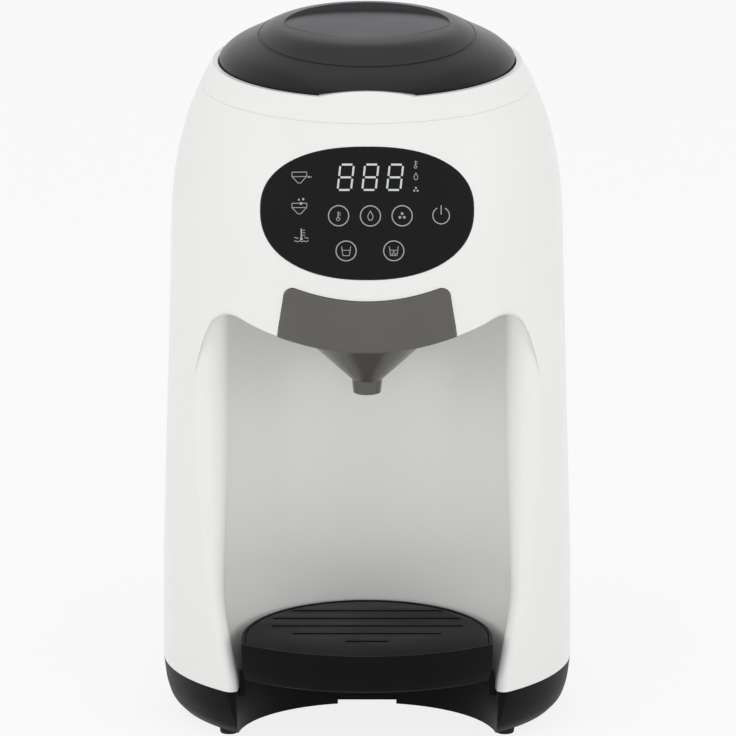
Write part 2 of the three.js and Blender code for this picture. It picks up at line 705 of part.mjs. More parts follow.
function backOutline(inset, bottom, wantedTop) {
  const top = Math.min(wantedTop, domeHeightAt(backPlane + inset + gap));
  const levels = [bottom, skirtTop, ...between(coverSteps, (share) => mix(shoulderHeight, top, share))];
  const halfAt = (z) => Math.sqrt(Math.max((shellRadius(z) - inset) ** 2 - backPlane ** 2, gap ** 2));
  const half = levels.map((z) => [halfAt(z), z]);
  return [...half, ...half.slice().reverse().map(([x, z]) => [-x, z])];
}

function rearCover() {
  const panel = prismAlongY(backOutline(0, shellBottom, shellTop), coverY, coverY + rearCoverThick);
  const lipTop = collarBottom - collarSkirtDepth - bite;
  const lipOuter = backOutline(coverLipInset, shellBottom + coverLipInset, lipTop);
  const lipInner = backOutline(coverLipInset + coverLipWall, shellBottom + coverLipInset + coverLipWall,
    lipTop - coverLipWall);
  const lip = prismAlongY(lipOuter, coverY - coverLipDepth, coverY + bite).subtract(
    prismAlongY(lipInner, coverY - coverLipDepth - overrun, coverY));
  const rest = box(-deckRestHalfWidth, deckRestHalfWidth, coverY - deckRestDepth, coverY + bite,
    deckBottom - gap - deckRestThick, deckBottom - gap);
  const postPlaces = [powerBoardLeft + bossInset, powerBoardRight - bossInset].flatMap((x) =>
    [powerBoardBottom + bossInset, powerBoardTop - bossInset].map((z) => [x, z]));
  const posts = postPlaces.map(([x, z]) =>
    rodAlongY(standoffRadius, powerBoardBack + boardThick + gap, coverY + bite, x, z));
  return unite(panel, lip, rest, ...posts);
}

// Lid: dome with a finger recess whose floor falls to the rear and a front notch
const recessBand = 28.5;
const recessRadius = lidRadius - recessBand;
const recessY = -3;
const recessFrontInset = 11.6;
const recessFrontY = recessY - recessRadius + recessFrontInset;
const recessDrop = 7.5;
const recessRearY = recessY + recessRadius;
const lidSteps = 7;
const lidInnerSteps = 4;
const lidSpacingShare = 0.5;
const sealRibInset = 5.8;
const sealRibOuter = lidRadius - sealRibInset;
const sealRibWall = 2.4;
const sealThick = 2;
const sealOverhang = 1;
const hopperFlangeThick = 2;
const hopperFlangeTop = collarLedge + gap + hopperFlangeThick;
const lidBottom = collarLedge + gap;

function lidDome(inset, bottom, steps, sides) {
  const edge = lidRadius - inset;
  const crown = between(steps, (share) => {
    const radius = lidRadius * Math.cos((share * Math.PI) / 2) ** lidSpacingShare;
    return [Math.min(radius, edge), lidDomeAt(radius) - inset];
  }).filter(([radius], i, all) => i === 0 || radius < all[i - 1][0]);
  crown[crown.length - 1][0] = 0;
  return revolve([[0, bottom], [edge, bottom], ...crown], { sides });
}

function recessCutter(grow, drop, sides) {
  const slope = recessDrop / (recessRearY - recessFrontY);
  const overTop = lidTop + overrun;
  const reach = recessRearY + grow + overrun;
  const wedge = prismAlongX([[recessFrontY - grow, lidTop - drop],
    [reach, lidTop - drop - slope * (reach - recessFrontY)], [reach, overTop],
    [recessFrontY - grow, overTop]], -bodyRadius, bodyRadius);
  return cylinder(recessRadius + grow, lidTop / 2, overTop, { y: recessY, sides }).intersect(wedge);
}

function lid() {
  const outer = lidDome(0, lidBottom, lidSteps, roundSides);
  const inner = lidDome(lidWall, lidBottom - overrun, lidInnerSteps, middleSides);
  const rib = cut(cylinder(sealRibOuter, hopperFlangeTop + 2 * gap + sealThick, lidTop, { sides: middleSides }),
    cylinder(sealRibOuter - sealRibWall, lidBottom, lidTop + overrun, { sides: middleSides }));
  const hollow = cut(inner, recessCutter(lidWall, lidWall, smallSides), rib);
  const notch = prismAlongY(tabOutline(tabClearance, lidBottom - overrun), -bodyRadius,
    -(lidRadius - tabDepth - tabClearance));
  return cut(outer, hollow, recessCutter(0, 0, roundSides), notch);
}

function lidSeal() {
  const bottom = hopperFlangeTop + gap;
  return cut(cylinder(sealRibOuter + gap, bottom, bottom + sealThick, { sides: middleSides }),
    cylinder(sealRibOuter - sealRibWall - sealOverhang, bottom - overrun, bottom + sealThick + overrun,
      { sides: middleSides }));
}

// Hopper: a tapered cup that hangs from its flange, with the outlet over the chute
const hopperFlangeInset = 3.6;
const hopperFlangeRadius = collarInner - hopperFlangeInset;
const outletRadius = (pocketOuter - pocketInner) / 2;
const hubHoleRadius = 9.5;
const hopperFloorTop = hopperBottom + hopperFloor;

function hopperCup() {
  const flangeBottom = collarLedge + gap;
  const outer = revolve([[0, hopperBottom], [hopperBottomRadius, hopperBottom], [hopperTopRadius, flangeBottom],
    [hopperFlangeRadius, flangeBottom], [hopperFlangeRadius, hopperFlangeTop], [0, hopperFlangeTop]],
  { sides: middleSides });
  const inner = revolve([[0, hopperFloorTop], [hopperBottomRadius - hopperWall, hopperFloorTop],
    [hopperTopRadius - hopperWall, hopperFlangeTop], [hopperTopRadius - hopperWall, hopperFlangeTop + overrun],
    [0, hopperFlangeTop + overrun]], { sides: middleSides });
  return cut(outer, inner, cylinder(hubHoleRadius, hopperBottom - overrun, hopperFloorTop + overrun),
    cylinder(outletRadius, hopperBottom - overrun, hopperFloorTop + overrun, { y: -doseReach }));
}

// Dosing wheel: a disc with open pockets that carry powder round to the outlet
const wheelBottom = hopperFloorTop + gap;
const wheelTop = wheelBottom + wheelThick;
const pocketShare = 0.62;
const pocketArcSteps = 3;
const dogAcross = 6;
const dogClearance = 0.4;
const dogCorners = 6;
const hubRadius = 8;
const hubRise = 6;
const hubTop = wheelTop + hubRise;
const hubRoof = 3;

function pocketOutline(index) {
  const pitch = (2 * Math.PI) / pocketCount;
  const middle = -Math.PI / 2 + index * pitch;
  const arc = (radius) => between(pocketArcSteps, (share) => {
    const turn = middle + (share - 0.5) * pitch * pocketShare;
    return [radius * Math.cos(turn), radius * Math.sin(turn)];
  });
  return [...arc(pocketOuter), ...arc(pocketInner).reverse()];
}

function dosingWheel() {
  const disc = cylinder(wheelRadius, wheelBottom, wheelTop, { sides: middleSides });
  const pockets = Array.from({ length: pocketCount }, (_, i) =>
    prismUp(pocketOutline(i), wheelBottom - overrun, wheelTop + overrun));
  const hub = cylinder(hubRadius, wheelBottom, hubTop);
  const socket = cylinder(dogAcross + dogClearance, wheelBottom - overrun, hubTop - hubRoof,
    { sides: dogCorners });
  return cut(unite(disc, hub), ...pockets, socket);
}

// Levelling plate: a fixed segment that wipes each pocket level before the outlet
const plateSpanShare = 0.16;
const levelThick = 2;
const levelHubClearance = 4;
const levelInner = hubRadius + levelHubClearance;
const levelSteps = 8;

function levellingPlate() {
  const bottom = wheelTop + gap;
  const climbShare = (bottom - hopperBottom) / (collarLedge + gap - hopperBottom);
  const outer = (mix(hopperBottomRadius, hopperTopRadius, climbShare) - hopperWall) * middleFacetShare - gap;
  const arc = (radius) => between(levelSteps, (share) => {
    const turn = -Math.PI / 2 + (share - 0.5) * 2 * Math.PI * plateSpanShare;
    return [radius * Math.cos(turn), radius * Math.sin(turn)];
  });
  return prismUp([...arc(outer), ...arc(levelInner).reverse()], bottom, bottom + levelThick);
}

// Stirrer: a cap over the hub with two arms and upright blades
const stirrerInset = 2.4;
const stirrerArmRadius = wheelRadius - stirrerInset;
const stirrerArmWidth = 5;
const stirrerArmThick = 3;
const stirrerBladeWidth = 4;
const stirrerDrop = 16.3;
const stirrerTop = collarLedge - stirrerDrop;
const stirrerCapRadius = 11;
const stirrerCapThick = 3;

function stirrer() {
  const armBottom = wheelTop + gap + levelThick + 3 * gap;
  const capBottom = armBottom;
  const capTop = hubTop + gap + stirrerCapThick;
  const cap = cut(cylinder(stirrerCapRadius, capBottom, capTop, { topRadius: hubRadius }),
    cylinder(hubRadius + gap, capBottom - overrun, hubTop + gap));
  const arms = cut(box(-stirrerArmRadius, stirrerArmRadius, -stirrerArmWidth / 2, stirrerArmWidth / 2,
    armBottom, armBottom + stirrerArmThick),
  cylinder(hubRadius + gap, armBottom - overrun, armBottom + stirrerArmThick + overrun));
  const blades = [-1, 1].map((side) => {
    const foot = [side * stirrerArmRadius, side * (stirrerArmRadius - stirrerBladeWidth * 2)];
    const tip = side * (stirrerArmRadius - stirrerBladeWidth / 2);
    const points = [[foot[0], armBottom], [tip, stirrerTop],
      [tip - side * stirrerBladeWidth, stirrerTop],
      [foot[1], armBottom]];
    return prismAlongY(side > 0 ? points : points.reverse(), -stirrerArmWidth / 2, stirrerArmWidth / 2);
  });
  return unite(cap, arms, ...blades);
}

// Gears of the dosing drive. Each tooth is a trapezium on the pitch circle.
const addendum = addendumShare * gearModule;
const dedendum = dedendumShare * gearModule;
const toothRootShare = 0.36;
const toothTipShare = 0.11;

function gearOutline(teeth, firstTurn) {
  const pitchRadius = (gearModule * teeth) / 2;
  const levels = [[pitchRadius - dedendum, -toothRootShare], [pitchRadius + addendum, -toothTipShare],
    [pitchRadius + addendum, toothTipShare], [pitchRadius - dedendum, toothRootShare]];
  const step = (2 * Math.PI) / teeth;
  return Array.from({ length: teeth }, (_, i) => levels.map(([radius, share]) => {
    const turn = firstTurn + (i + share) * step;
    return [radius * Math.cos(turn), radius * Math.sin(turn)];
  })).flat();
}

const gearBossHeight = 3;
const gearBottom = deckBottom + deckThick + gearBossHeight;
const gearTop = gearBottom + gearThick;
const axleRadius = 2.6;
const axleClearance = 0.2;
const axleRise = 3;
const axleHeadroom = 1;
const axleTop = gearTop + axleRise;
const dogHeadroom = 2;
const dogTop = hubTop - hubRoof - dogHeadroom;
const neckHeadroom = 2;
const collarNeckRadius = 8;

// The gear has a tooth on the line to the pinion, and the pinion a space
function driveGear() {
  const wheel = prismUp(gearOutline(driveTeeth, Math.PI / 2), gearBottom, gearTop);
  const neck = cylinder(collarNeckRadius, gearBottom, hopperBottom - neckHeadroom);
  const dog = cylinder(dogAcross, gearTop, dogTop, { sides: dogCorners });
  const bore = cylinder(axleRadius + axleClearance, gearBottom - overrun, axleTop + axleHeadroom,
    { sides: tinySides });
  return cut(unite(wheel, neck, dog), bore);
}

const motorShaftRadius = 2.5;
const motorShaftDepth = 6;
const motorShaftRise = 2;

function motorPinion() {
  const wheel = prismUp(gearOutline(pinionTeeth, -Math.PI / 2 + Math.PI / pinionTeeth), gearBottom, gearTop);
  const shaft = cylinder(motorShaftRadius, deckBottom - motorShaftDepth, gearTop + motorShaftRise,
    { sides: tinySides });
  return unite(wheel, shaft);
}

const gearboxHeight = 20;
const motorRadius = 12;
const motorHeight = 30;

function dosingMotor() {
  const top = deckBottom - gap;
  const middle = top - gearboxHeight;
  const bottom = middle - motorHeight;
  const body = revolve([[0, bottom], [motorRadius, bottom], [motorRadius, middle], [gearboxRadius, middle],
    [gearboxRadius, top], [0, top]], { sides: smallSides });
  return body.subtract(cylinder(motorShaftRadius + gap, deckBottom - motorShaftDepth - gap, deckBottom,
    { sides: tinySides }));
}

// Mechanism deck: carries the drive, the chute and the nozzle, with rails for the funnel under it
const deckRadius = (shoulderRadius - shellWall) * middleFacetShare - gap;
const deckRear = coverY - coverLipDepth - gap;
const railWall = 2;
const railLip = 6;
const railThick = 2.4;
const flangeThick = 1.8;
const funnelTop = deckBottom - 2 * gap;
const railClearance = 0.7;
const railReach = flangeReach + railClearance + railWall;
const railFrontInset = 4.4;
const railFront = railFrontInset - Math.sqrt(deckRadius ** 2 - railReach ** 2);
const railRear = -4;
const postInset = 10.5;
const postX = flangeReach + postInset;
const postY = -24;
const postRadius = 4;
const chuteFlange = 14;
const chuteFlangeThick = 1.8;
const nozzleX = 18;
const nozzleReach = 13;
const nozzleY = funnelY - nozzleReach;
const nozzleRadius = 4.5;
const nozzleBore = 2;
const nozzleFlange = 6.8;
const hoseRadius = 2.6;
const nippleRadius = 2.4;
const shaftHoleClearance = 1;
const hoseHoleClearance = 1.5;
const hoseHoleX = 42;
const hoseHoleDepth = 38;
const hoseHoleY = backPlane - hoseHoleDepth;

function mechanismDeck() {
  const plate = cylinder(deckRadius, deckBottom, deckTop, { sides: roundSides }).intersect(
    box(-bodyRadius, bodyRadius, -bodyRadius, deckRear, deckBottom, deckTop));
  const railTop = deckBottom + deckThick / 2;
  const lipTop = funnelTop - flangeThick - gap;
  const rails = [-1, 1].map((side) => {
    const outline = [[railReach, railTop], [railReach - railWall, railTop], [railReach - railWall, lipTop],
      [railReach - railLip, lipTop], [railReach - railLip, lipTop - railThick],
      [railReach, lipTop - railThick]].map(([x, z]) => [side * x, z]);
    return prismAlongY(side > 0 ? outline : outline.reverse(), railFront, railRear);
  });
  const postBottom = chinAt(postX + postRadius) + shellWall + gap;
  const posts = [-1, 1].map((side) => cylinder(postRadius, postBottom, railTop, { x: side * postX, y: postY,
    sides: tinySides }));
  const boss = cylinder(collarNeckRadius, railTop, gearBottom - gap);
  const axle = cylinder(axleRadius, railTop, axleTop, { sides: tinySides });
  const holes = [
    cylinder(chuteBore + chuteWall + gap, deckBottom - overrun, deckTop + overrun, { y: funnelY }),
    cylinder(nozzleRadius + gap, deckBottom - overrun, deckTop + overrun,
      { x: nozzleX, y: nozzleY, sides: tinySides }),
    cylinder(motorShaftRadius + shaftHoleClearance, deckBottom - overrun, deckTop + overrun,
      { y: motorY, sides: tinySides }),
    cylinder(hoseRadius + hoseHoleClearance, deckBottom - overrun, deckTop + overrun,
      { x: hoseHoleX, y: hoseHoleY, sides: tinySides })];
  return cut(unite(plate, ...rails, ...posts, boss, axle), ...holes);
}

function powderChute() {
  const outer = chuteBore + chuteWall;
  const flangeBottom = deckTop + gap;
  return revolve([[chuteBore, deckBottom], [outer, deckBottom], [outer, flangeBottom],
    [chuteFlange, flangeBottom], [chuteFlange, flangeBottom + chuteFlangeThick],
    [outer, flangeBottom + chuteFlangeThick],
    [outer, hopperBottom - gap], [chuteBore, hopperBottom - gap], [chuteBore, deckBottom]],
  { sides: smallSides, y: funnelY });
}

const nozzleRise = 9;
const nozzleFlangeThick = 2;
const nozzleTop = deckTop + nozzleRise;

function waterNozzle() {
  const flangeBottom = deckTop + gap;
  return revolve([[nozzleBore, deckBottom], [nozzleRadius, deckBottom], [nozzleRadius, flangeBottom],
    [nozzleFlange, flangeBottom], [nozzleFlange, flangeBottom + nozzleFlangeThick],
    [nozzleRadius, flangeBottom + nozzleFlangeThick],
    [nozzleRadius, nozzleTop], [nozzleBore, nozzleTop], [nozzleBore, deckBottom]],
  { sides: tinySides, x: nozzleX, y: nozzleY });
}

// Mixing funnel: curved front plate, bowl, cone and spout in one smoky moulding
const bowlSides = 28;
const plateProud = 0.9;
const plateThick = 2.4;
const coneTop = funnelConeBottom + (funnelBowlRadius - spoutRadius) / funnelConeShare;

function mixingFunnel() {
  const plateBand = cut(shellSolid(-plateProud, shellBottom, shellTop),
    shellCutter(plateThick - plateProud, shellBottom, shellTop));
  const plate = plateBand.intersect(prismAlongY(plateOutline(), -2 * bodyRadius, plateCutBack));
  const floorBand = between(8, (share) => mix(-funnelBowlRadius, funnelBowlRadius, share));
  const floorOutline = [...floorBand.map((x) => [x, chinAt(x) + funnelWall]),
    ...floorBand.slice().reverse().map((x) => [x, chinAt(x)])];
  const plateBack = shellSolid(plateThick - plateProud - bite, shellBottom, shellTop);
  const floor = prismAlongY(floorOutline, -bodyRadius, funnelY).intersect(plateBack);
  const bowl = revolve([[0, spoutBottom], [spoutTipRadius, spoutBottom], [spoutRadius, funnelConeBottom],
    [funnelBowlRadius, coneTop], [funnelBowlRadius, funnelTop], [0, funnelTop]],
  { sides: bowlSides, y: funnelY });
  const insideRadius = funnelBowlRadius - funnelWall;
  const inside = revolve([[0, spoutBottom - overrun], [spoutTipRadius - funnelWall, spoutBottom - overrun],
    [spoutRadius - funnelWall, funnelConeBottom + funnelWall / 2], [insideRadius, coneTop + funnelWall],
    [insideRadius, funnelTop + overrun], [0, funnelTop + overrun]], { sides: bowlSides, y: funnelY });
  const flange = box(-flangeReach, flangeReach, funnelY - funnelBowlRadius / 2, funnelY + funnelBowlRadius / 2,
    funnelTop - flangeThick, funnelTop);
  return cut(unite(plate, floor, bowl, flange), inside);
}

// Control panel: an oval glass that follows the shell, over the display board
function controlPanel() {
  const band = cut(shellSolid(-panelProud, shellBottom, shellTop),
    shellCutter(panelSeatDepth - gap, shellBottom, shellTop));
  const outline = superellipse(panelHalfWidth, panelHalfHeight, panelHeight, panelPowerShare, panelSides);
  return band.intersect(prismAlongY(outline, -bodyRadius - overrun, 0));
}

const chipDepth = 2;
const chipHalf = 7;

function displayBoard() {
  const board = box(-boardHalfWidth, boardHalfWidth, boardFront, boardFront + boardThick,
    boardBottom, boardTop);
  const chip = box(-chipHalf, chipHalf, boardFront, boardFront + boardThick + chipDepth,
    panelHeight - chipHalf, panelHeight + chipHalf);
  return unite(board, chip);
}

const digitsHalfWidth = 17;
const digitsTopInset = 10.4;
const digitsTop = panelTop - digitsTopInset;
const digitsHeight = 14;
const digitsBottom = digitsTop - digitsHeight;
const digitsDepth = 6;

function displayModule() {
  return box(-digitsHalfWidth, digitsHalfWidth, boardFront - gap - digitsDepth, boardFront - gap,
    digitsBottom, digitsTop);
}

// Power board on the rear cover, with its transformer and capacitors
const transformerHalf = 12;
const transformerDepth = 20;
const capacitorRadius = 5;
const capacitorDepth = 14;
const capacitorCount = 3;
const capacitorPitch = 12;

function powerBoard() {
  const middleX = (powerBoardLeft + powerBoardRight) / 2;
  const transformerZ = powerBoardTop - transformerHalf * 2;
  const capacitorZ = powerBoardBottom + capacitorRadius * 3;
  const sheet = box(powerBoardLeft, powerBoardRight, powerBoardBack, powerBoardBack + boardThick,
    powerBoardBottom, powerBoardTop);
  const transformer = box(middleX - transformerHalf, middleX + transformerHalf,
    powerBoardBack - transformerDepth, powerBoardBack + boardThick,
    transformerZ - transformerHalf, transformerZ + transformerHalf);
  const capacitors = Array.from({ length: capacitorCount }, (_, i) => rodAlongY(capacitorRadius,
    powerBoardBack - capacitorDepth, powerBoardBack + boardThick / 2,
    middleX + (i - (capacitorCount - 1) / 2) * capacitorPitch, capacitorZ));
  return unite(sheet, transformer, ...capacitors);
}

// Water path: pump on the base floor, tube heater on a bracket, probe and hoses
const pumpX = -30;
const pumpDepth = 28;
const pumpY = backPlane - pumpDepth;
const pumpRadius = 14;
const pumpHeight = 46;
const pumpHeadRadius = 16;
const pumpHeadHeight = 14;
const nippleLength = 5;
const insideFloor = footHeight + baseFloor;

function waterPump() {
  const bottom = insideFloor + gap;
  const top = bottom + pumpHeadHeight + pumpHeight;
  return revolve([[0, bottom], [pumpHeadRadius, bottom], [pumpHeadRadius, bottom + pumpHeadHeight],
    [pumpRadius, bottom + pumpHeadHeight], [pumpRadius, top], [nippleRadius, top],
    [nippleRadius, top + nippleLength], [0, top + nippleLength]], { sides: smallSides, x: pumpX, y: pumpY });
}

const heaterX = 22;
const heaterDepth = 30;
const heaterY = backPlane - heaterDepth;
const heaterRadius = 15;
const heaterBottom = 64;
const heaterHeadroom = 2.7;
const heaterTop = deckBottom - gap - gearboxHeight - motorHeight - nippleLength - heaterHeadroom;
const heaterCapRadius = 17;
const heaterCapHeight = 7;
const bracketThick = 1.5;
const bracketHalfWidth = 16;
const bracketRise = 24;
const bracketHoleClearance = 3;

function heaterTube() {
  return revolve([[0, heaterBottom], [heaterCapRadius, heaterBottom],
    [heaterCapRadius, heaterBottom + heaterCapHeight],
    [heaterRadius, heaterBottom + heaterCapHeight], [heaterRadius, heaterTop - heaterCapHeight],
    [heaterCapRadius, heaterTop - heaterCapHeight], [heaterCapRadius, heaterTop], [nippleRadius, heaterTop],
    [nippleRadius, heaterTop + nippleLength], [0, heaterTop + nippleLength]],
  { sides: smallSides, x: heaterX, y: heaterY });
}

function heaterBracket() {
  const top = heaterBottom - gap;
  const rear = coverY - gap;
  const profile = [[heaterY - heaterCapRadius, top - bracketThick], [rear, top - bracketThick],
    [rear, top + bracketRise], [rear - bracketThick, top + bracketRise], [rear - bracketThick, top],
    [heaterY - heaterCapRadius, top]];
  const sheet = prismAlongX(profile, heaterX - bracketHalfWidth, heaterX + bracketHalfWidth);
  return cut(sheet, cylinder(nippleRadius + bracketHoleClearance, 0, heaterTop,
    { x: heaterX, y: heaterY, sides: tinySides }));
}

const probeRadius = 2.5;
const probeLength = 12;
const probeHeadRadius = 4;
const probeHeadLength = 4;

function temperatureProbe() {
  const z = heaterTop - heaterCapHeight * 2;
  const x = heaterX + heaterRadius + gap;
  return unite(rodAlongX(probeHeadRadius, x, x + probeHeadLength, heaterY, z, dogCorners),
    rodAlongX(probeRadius, x, x + probeLength, heaterY, z));
}

// Tank dock: the shelf's cover with a round well, a valve pin and an outlet nipple
const dockBottom = baseTop + gap;
const dockThick = 2.4;
const dockTop = dockBottom + dockThick;
const dockReach = 29.4;
const dockY = tankFront + dockReach;
const wellRadius = 12;
const wellWall = 2;
const wellDepth = 13.5;
const wellFloor = dockTop - wellDepth;
const pinRadius = 1.5;
const neckRadius = 10;
const neckWall = 2.5;
const neckLength = 9.3;
const neckSeat = 2;
const neckSeatRadius = 4.5;
const tankBottom = dockTop + gap;
const neckBottom = tankBottom - neckLength;
const tankFloor = 2.4;
const valveRadius = 6.6;
const valveThick = 2;
const valveStemRadius = 2;
const bridgeRise = 4;
const bridgeBottom = tankBottom + tankFloor + bridgeRise;
const bridgeThick = 2;
const bridgeWidth = 8;

function shelfOutline(inset) {
  return roundedRectangle(-shelfHalfWidth + inset, shelfHalfWidth - inset, 0, shelfRear - inset,
    shelfCornerRadius - inset);
}

function tankDock() {
  const sheet = prismUp(shelfOutline(0), dockBottom, dockTop).intersect(
    box(-shelfHalfWidth, shelfHalfWidth, dockFront, shelfRear, dockBottom, dockTop));
  const well = cylinder(wellRadius + wellWall, wellFloor - wellWall, dockTop, { y: dockY });
  const pit = cylinder(wellRadius, wellFloor, dockTop + overrun, { y: dockY });
  const pin = cylinder(pinRadius, wellFloor - bite, neckBottom + neckSeat, { y: dockY, sides: tinySides });
  const nippleEnd = dockY - wellRadius - wellWall - nippleLength;
  const nipple = rodAlongY(nippleRadius, nippleEnd, dockY - wellRadius - bite, 0, wellFloor + nippleRadius);
  return unite(cut(unite(sheet, well), pit), pin, nipple);
}

// Water tank: D-shaped, with a neck and a sprung valve under it and ears for the flap
const flapThick = 2.6;
const flapHingeInset = 2.6;
const flapHingeRise = 4;
const flapPlugDepth = 3;
const flapPlugWall = 2;
const flapHingeY = tankRear - flapHingeInset;
const flapHingeZ = tankTop + flapHingeRise;
const knuckleRadius = 1.9;
const knuckleHalf = 26;
const earThick = 3;
const earGap = 0.4;
const flapPinRadius = 1.1;

function tankOutline(inset) {
  const front = tankFront + inset;
  const side = tankHalfWidth - inset;
  const radius = tankCornerRadius - inset;
  const rear = tankRear - inset;
  const arc = (sign) => between(5, (share) => {
    const turn = (sign > 0 ? share : 1 - share) * (Math.PI / 2);
    return [sign * (side - radius + radius * Math.cos(turn)), rear - radius + radius * Math.sin(turn)];
  });
  return [[side, front], ...arc(1), ...arc(-1), [-side, front]];
}

function waterTank() {
  const floorTop = tankBottom + tankFloor;
  const body = unite(prismUp(tankOutline(0), tankBottom, tankTop),
    cylinder(neckRadius, neckBottom, floorTop, { y: dockY }));
  const hollow = prismUp(tankOutline(tankWall), floorTop, tankTop + overrun);
  const bore = unite(cylinder(neckRadius - neckWall, neckBottom + neckSeat, floorTop + overrun, { y: dockY }),
    cylinder(neckSeatRadius, neckBottom - overrun, neckBottom + overrun, { y: dockY }));
  const posts = [-1, 1].map((side) => {
    const inside = side * (neckRadius - neckWall);
    const outside = side * (neckRadius + neckWall);
    return box(Math.min(inside, outside), Math.max(inside, outside),
      dockY - bridgeWidth / 2, dockY + bridgeWidth / 2, floorTop - bite, bridgeBottom + bridgeThick);
  });
  const bridge = box(-neckRadius, neckRadius, dockY - bridgeWidth / 2, dockY + bridgeWidth / 2,
    bridgeBottom, bridgeBottom + bridgeThick);
  const stemHole = cylinder(valveStemRadius + gap, bridgeBottom - bite, bridgeBottom + bridgeThick + bite,
    { y: dockY, sides: tinySides });
  const ears = [-1, 1].map((side) => {
    const near = side * (knuckleHalf + earGap);
    const far = side * (knuckleHalf + earGap + earThick);
    return box(Math.min(near, far), Math.max(near, far), flapHingeY - 2 * knuckleRadius, tankRear,
      tankTop - earThick, flapHingeZ + knuckleRadius);
  });
  const pinHole = rodAlongX(flapPinRadius + gap, -knuckleHalf * 2, knuckleHalf * 2, flapHingeY, flapHingeZ);
  return cut(unite(cut(body, hollow, bore), ...posts, bridge, ...ears), stemHole, pinHole);
}

function tankFlap() {
  const bottom = tankTop + gap;
  const flapRear = flapHingeY - 3 * knuckleRadius;
  const sheet = prismUp(tankOutline(0), bottom, bottom + flapThick).intersect(
    box(-tankHalfWidth, tankHalfWidth, tankFront, flapRear, bottom, bottom + flapThick));
  const tongue = box(-knuckleHalf, knuckleHalf, flapRear - bite, flapHingeY, bottom, bottom + flapThick);
  const knuckle = rodAlongX(knuckleRadius, -knuckleHalf, knuckleHalf, flapHingeY, flapHingeZ);
  const pins = rodAlongX(flapPinRadius, -knuckleHalf - earGap - earThick, knuckleHalf + earGap + earThick,
    flapHingeY, flapHingeZ);
  const plugBottom = bottom - flapPlugDepth;
  const plug = cut(prismUp(tankOutline(tankWall + gap), plugBottom, bottom + bite),
    prismUp(tankOutline(tankWall + gap + flapPlugWall), plugBottom - overrun, bottom)).intersect(
    box(-tankHalfWidth, tankHalfWidth, tankFront, flapRear - 2 * tankWall, plugBottom, bottom + bite));
  return unite(sheet, tongue, knuckle, pins, plug);
}

function tankValve() {
  const bottom = neckBottom + neckSeat + gap;
  return revolve([[0, bottom], [valveRadius, bottom], [valveRadius, bottom + valveThick],
    [valveStemRadius, bottom + valveThick], [valveStemRadius, bridgeBottom + bridgeThick],
    [0, bridgeBottom + bridgeThick]],
  { sides: tinySides, y: dockY });
}

const springWire = 0.5;
const springTurns = 4;
const springStepsPerTurn = 8;
const springSides = 4;
const springRadius = 4;

class Helix extends THREE.Curve {
  constructor(radius, bottom, height, turns) {
    super();
    Object.assign(this, { radius, bottom, height, turns });
  }

  getPoint(share) {
    const turn = share * this.turns * 2 * Math.PI;
    return new THREE.Vector3(this.radius * Math.cos(turn), dockY + this.radius * Math.sin(turn),
      this.bottom + this.height * share);
  }
}

function valveSpring() {
  const bottom = neckBottom + neckSeat + gap + valveThick + gap + springWire;
  const height = bridgeBottom - gap - springWire - bottom;
  const section = shapeOf(ring(springWire, springSides));
  return toSolid(new THREE.ExtrudeGeometry(section, { steps: springTurns * springStepsPerTurn,
    extrudePath: new Helix(springRadius, bottom, height, springTurns), bevelEnabled: false }));
}

// Power inlet: a two-pin socket in the shelf's rear face
const socketRadius = 3.4;
const socketPitch = 8.4;
const socketDepth = 12;

function powerInlet() {
  const z = (inletBottom + inletTop) / 2;
  const body = box(inletX - inletHalfWidth, inletX + inletHalfWidth, inletFace - inletDepth, inletFace,
    inletBottom, inletTop);
  const bores = [-1, 1].map((side) => rodAlongY(socketRadius, inletFace - socketDepth, inletFace + overrun,
    inletX + (side * socketPitch) / 2, z));
  const web = box(inletX - socketPitch / 2, inletX + socketPitch / 2,
    inletFace - socketDepth, inletFace + overrun, z - socketRadius / 2, z + socketRadius / 2);
  return cut(body, ...bores, web);
}

// Drip tray and its slotted cover
const traySteps = 10;
const trayRearSteps = 12;
const trayWall = 2.2;
const trayFloor = 2.2;
const trayDraft = 1.6;
const traySideShare = 0.34;
const trayToeShare = 0.3;
const coverThick = 2.4;
const coverSeat = 1.6;
const coverRearGap = 1.5;
const slotWidth = 2.2;
const slotCount = 5;
const slotPitch = 12.6;
const slotFrontInset = 24.4;
const slotFrontY = trayFrontY + slotFrontInset;
const slotCircleRadius = 47.2;
const slotCircleInset = 70.6;
const slotCircleY = trayFrontY + slotCircleInset;
const slotEdge = 7;

function trayOutline(inset, rearInset = inset) {
  const centreY = trayFrontY + trayFrontRadius;
  const frontRadius = trayFrontRadius - inset;
  const side = trayHalfWidth - inset;
  const cornerTurn = Math.asin(side / frontRadius);
  const front = between(traySteps, (share) => {
    const turn = mix(-cornerTurn, cornerTurn, share);
    return [frontRadius * Math.sin(turn), centreY - frontRadius * Math.cos(turn)];
  });
  const sideRearY = mix(trayFrontY, trayRearY, traySideShare);
  const rear = between(trayRearSteps, (share) => {
    const turn = share * Math.PI;
    return [side * Math.cos(turn), sideRearY + (trayRearY - rearInset - sideRearY) * Math.sin(turn)];
  });
  return [...front, ...rear];
}

function dripTray() {
  const outer = loft([trayOutline(trayDraft), trayOutline(trayDraft / 4), trayOutline(0)],
    [trayBottom, mix(trayBottom, trayTop, trayToeShare), trayTop]);
  const inner = prismUp(trayOutline(trayDraft + trayWall), trayBottom + trayFloor, trayTop + overrun);
  const seat = prismUp(trayOutline(coverSeat), trayTop - coverThick - gap, trayTop + overrun);
  return cut(outer, inner, seat);
}

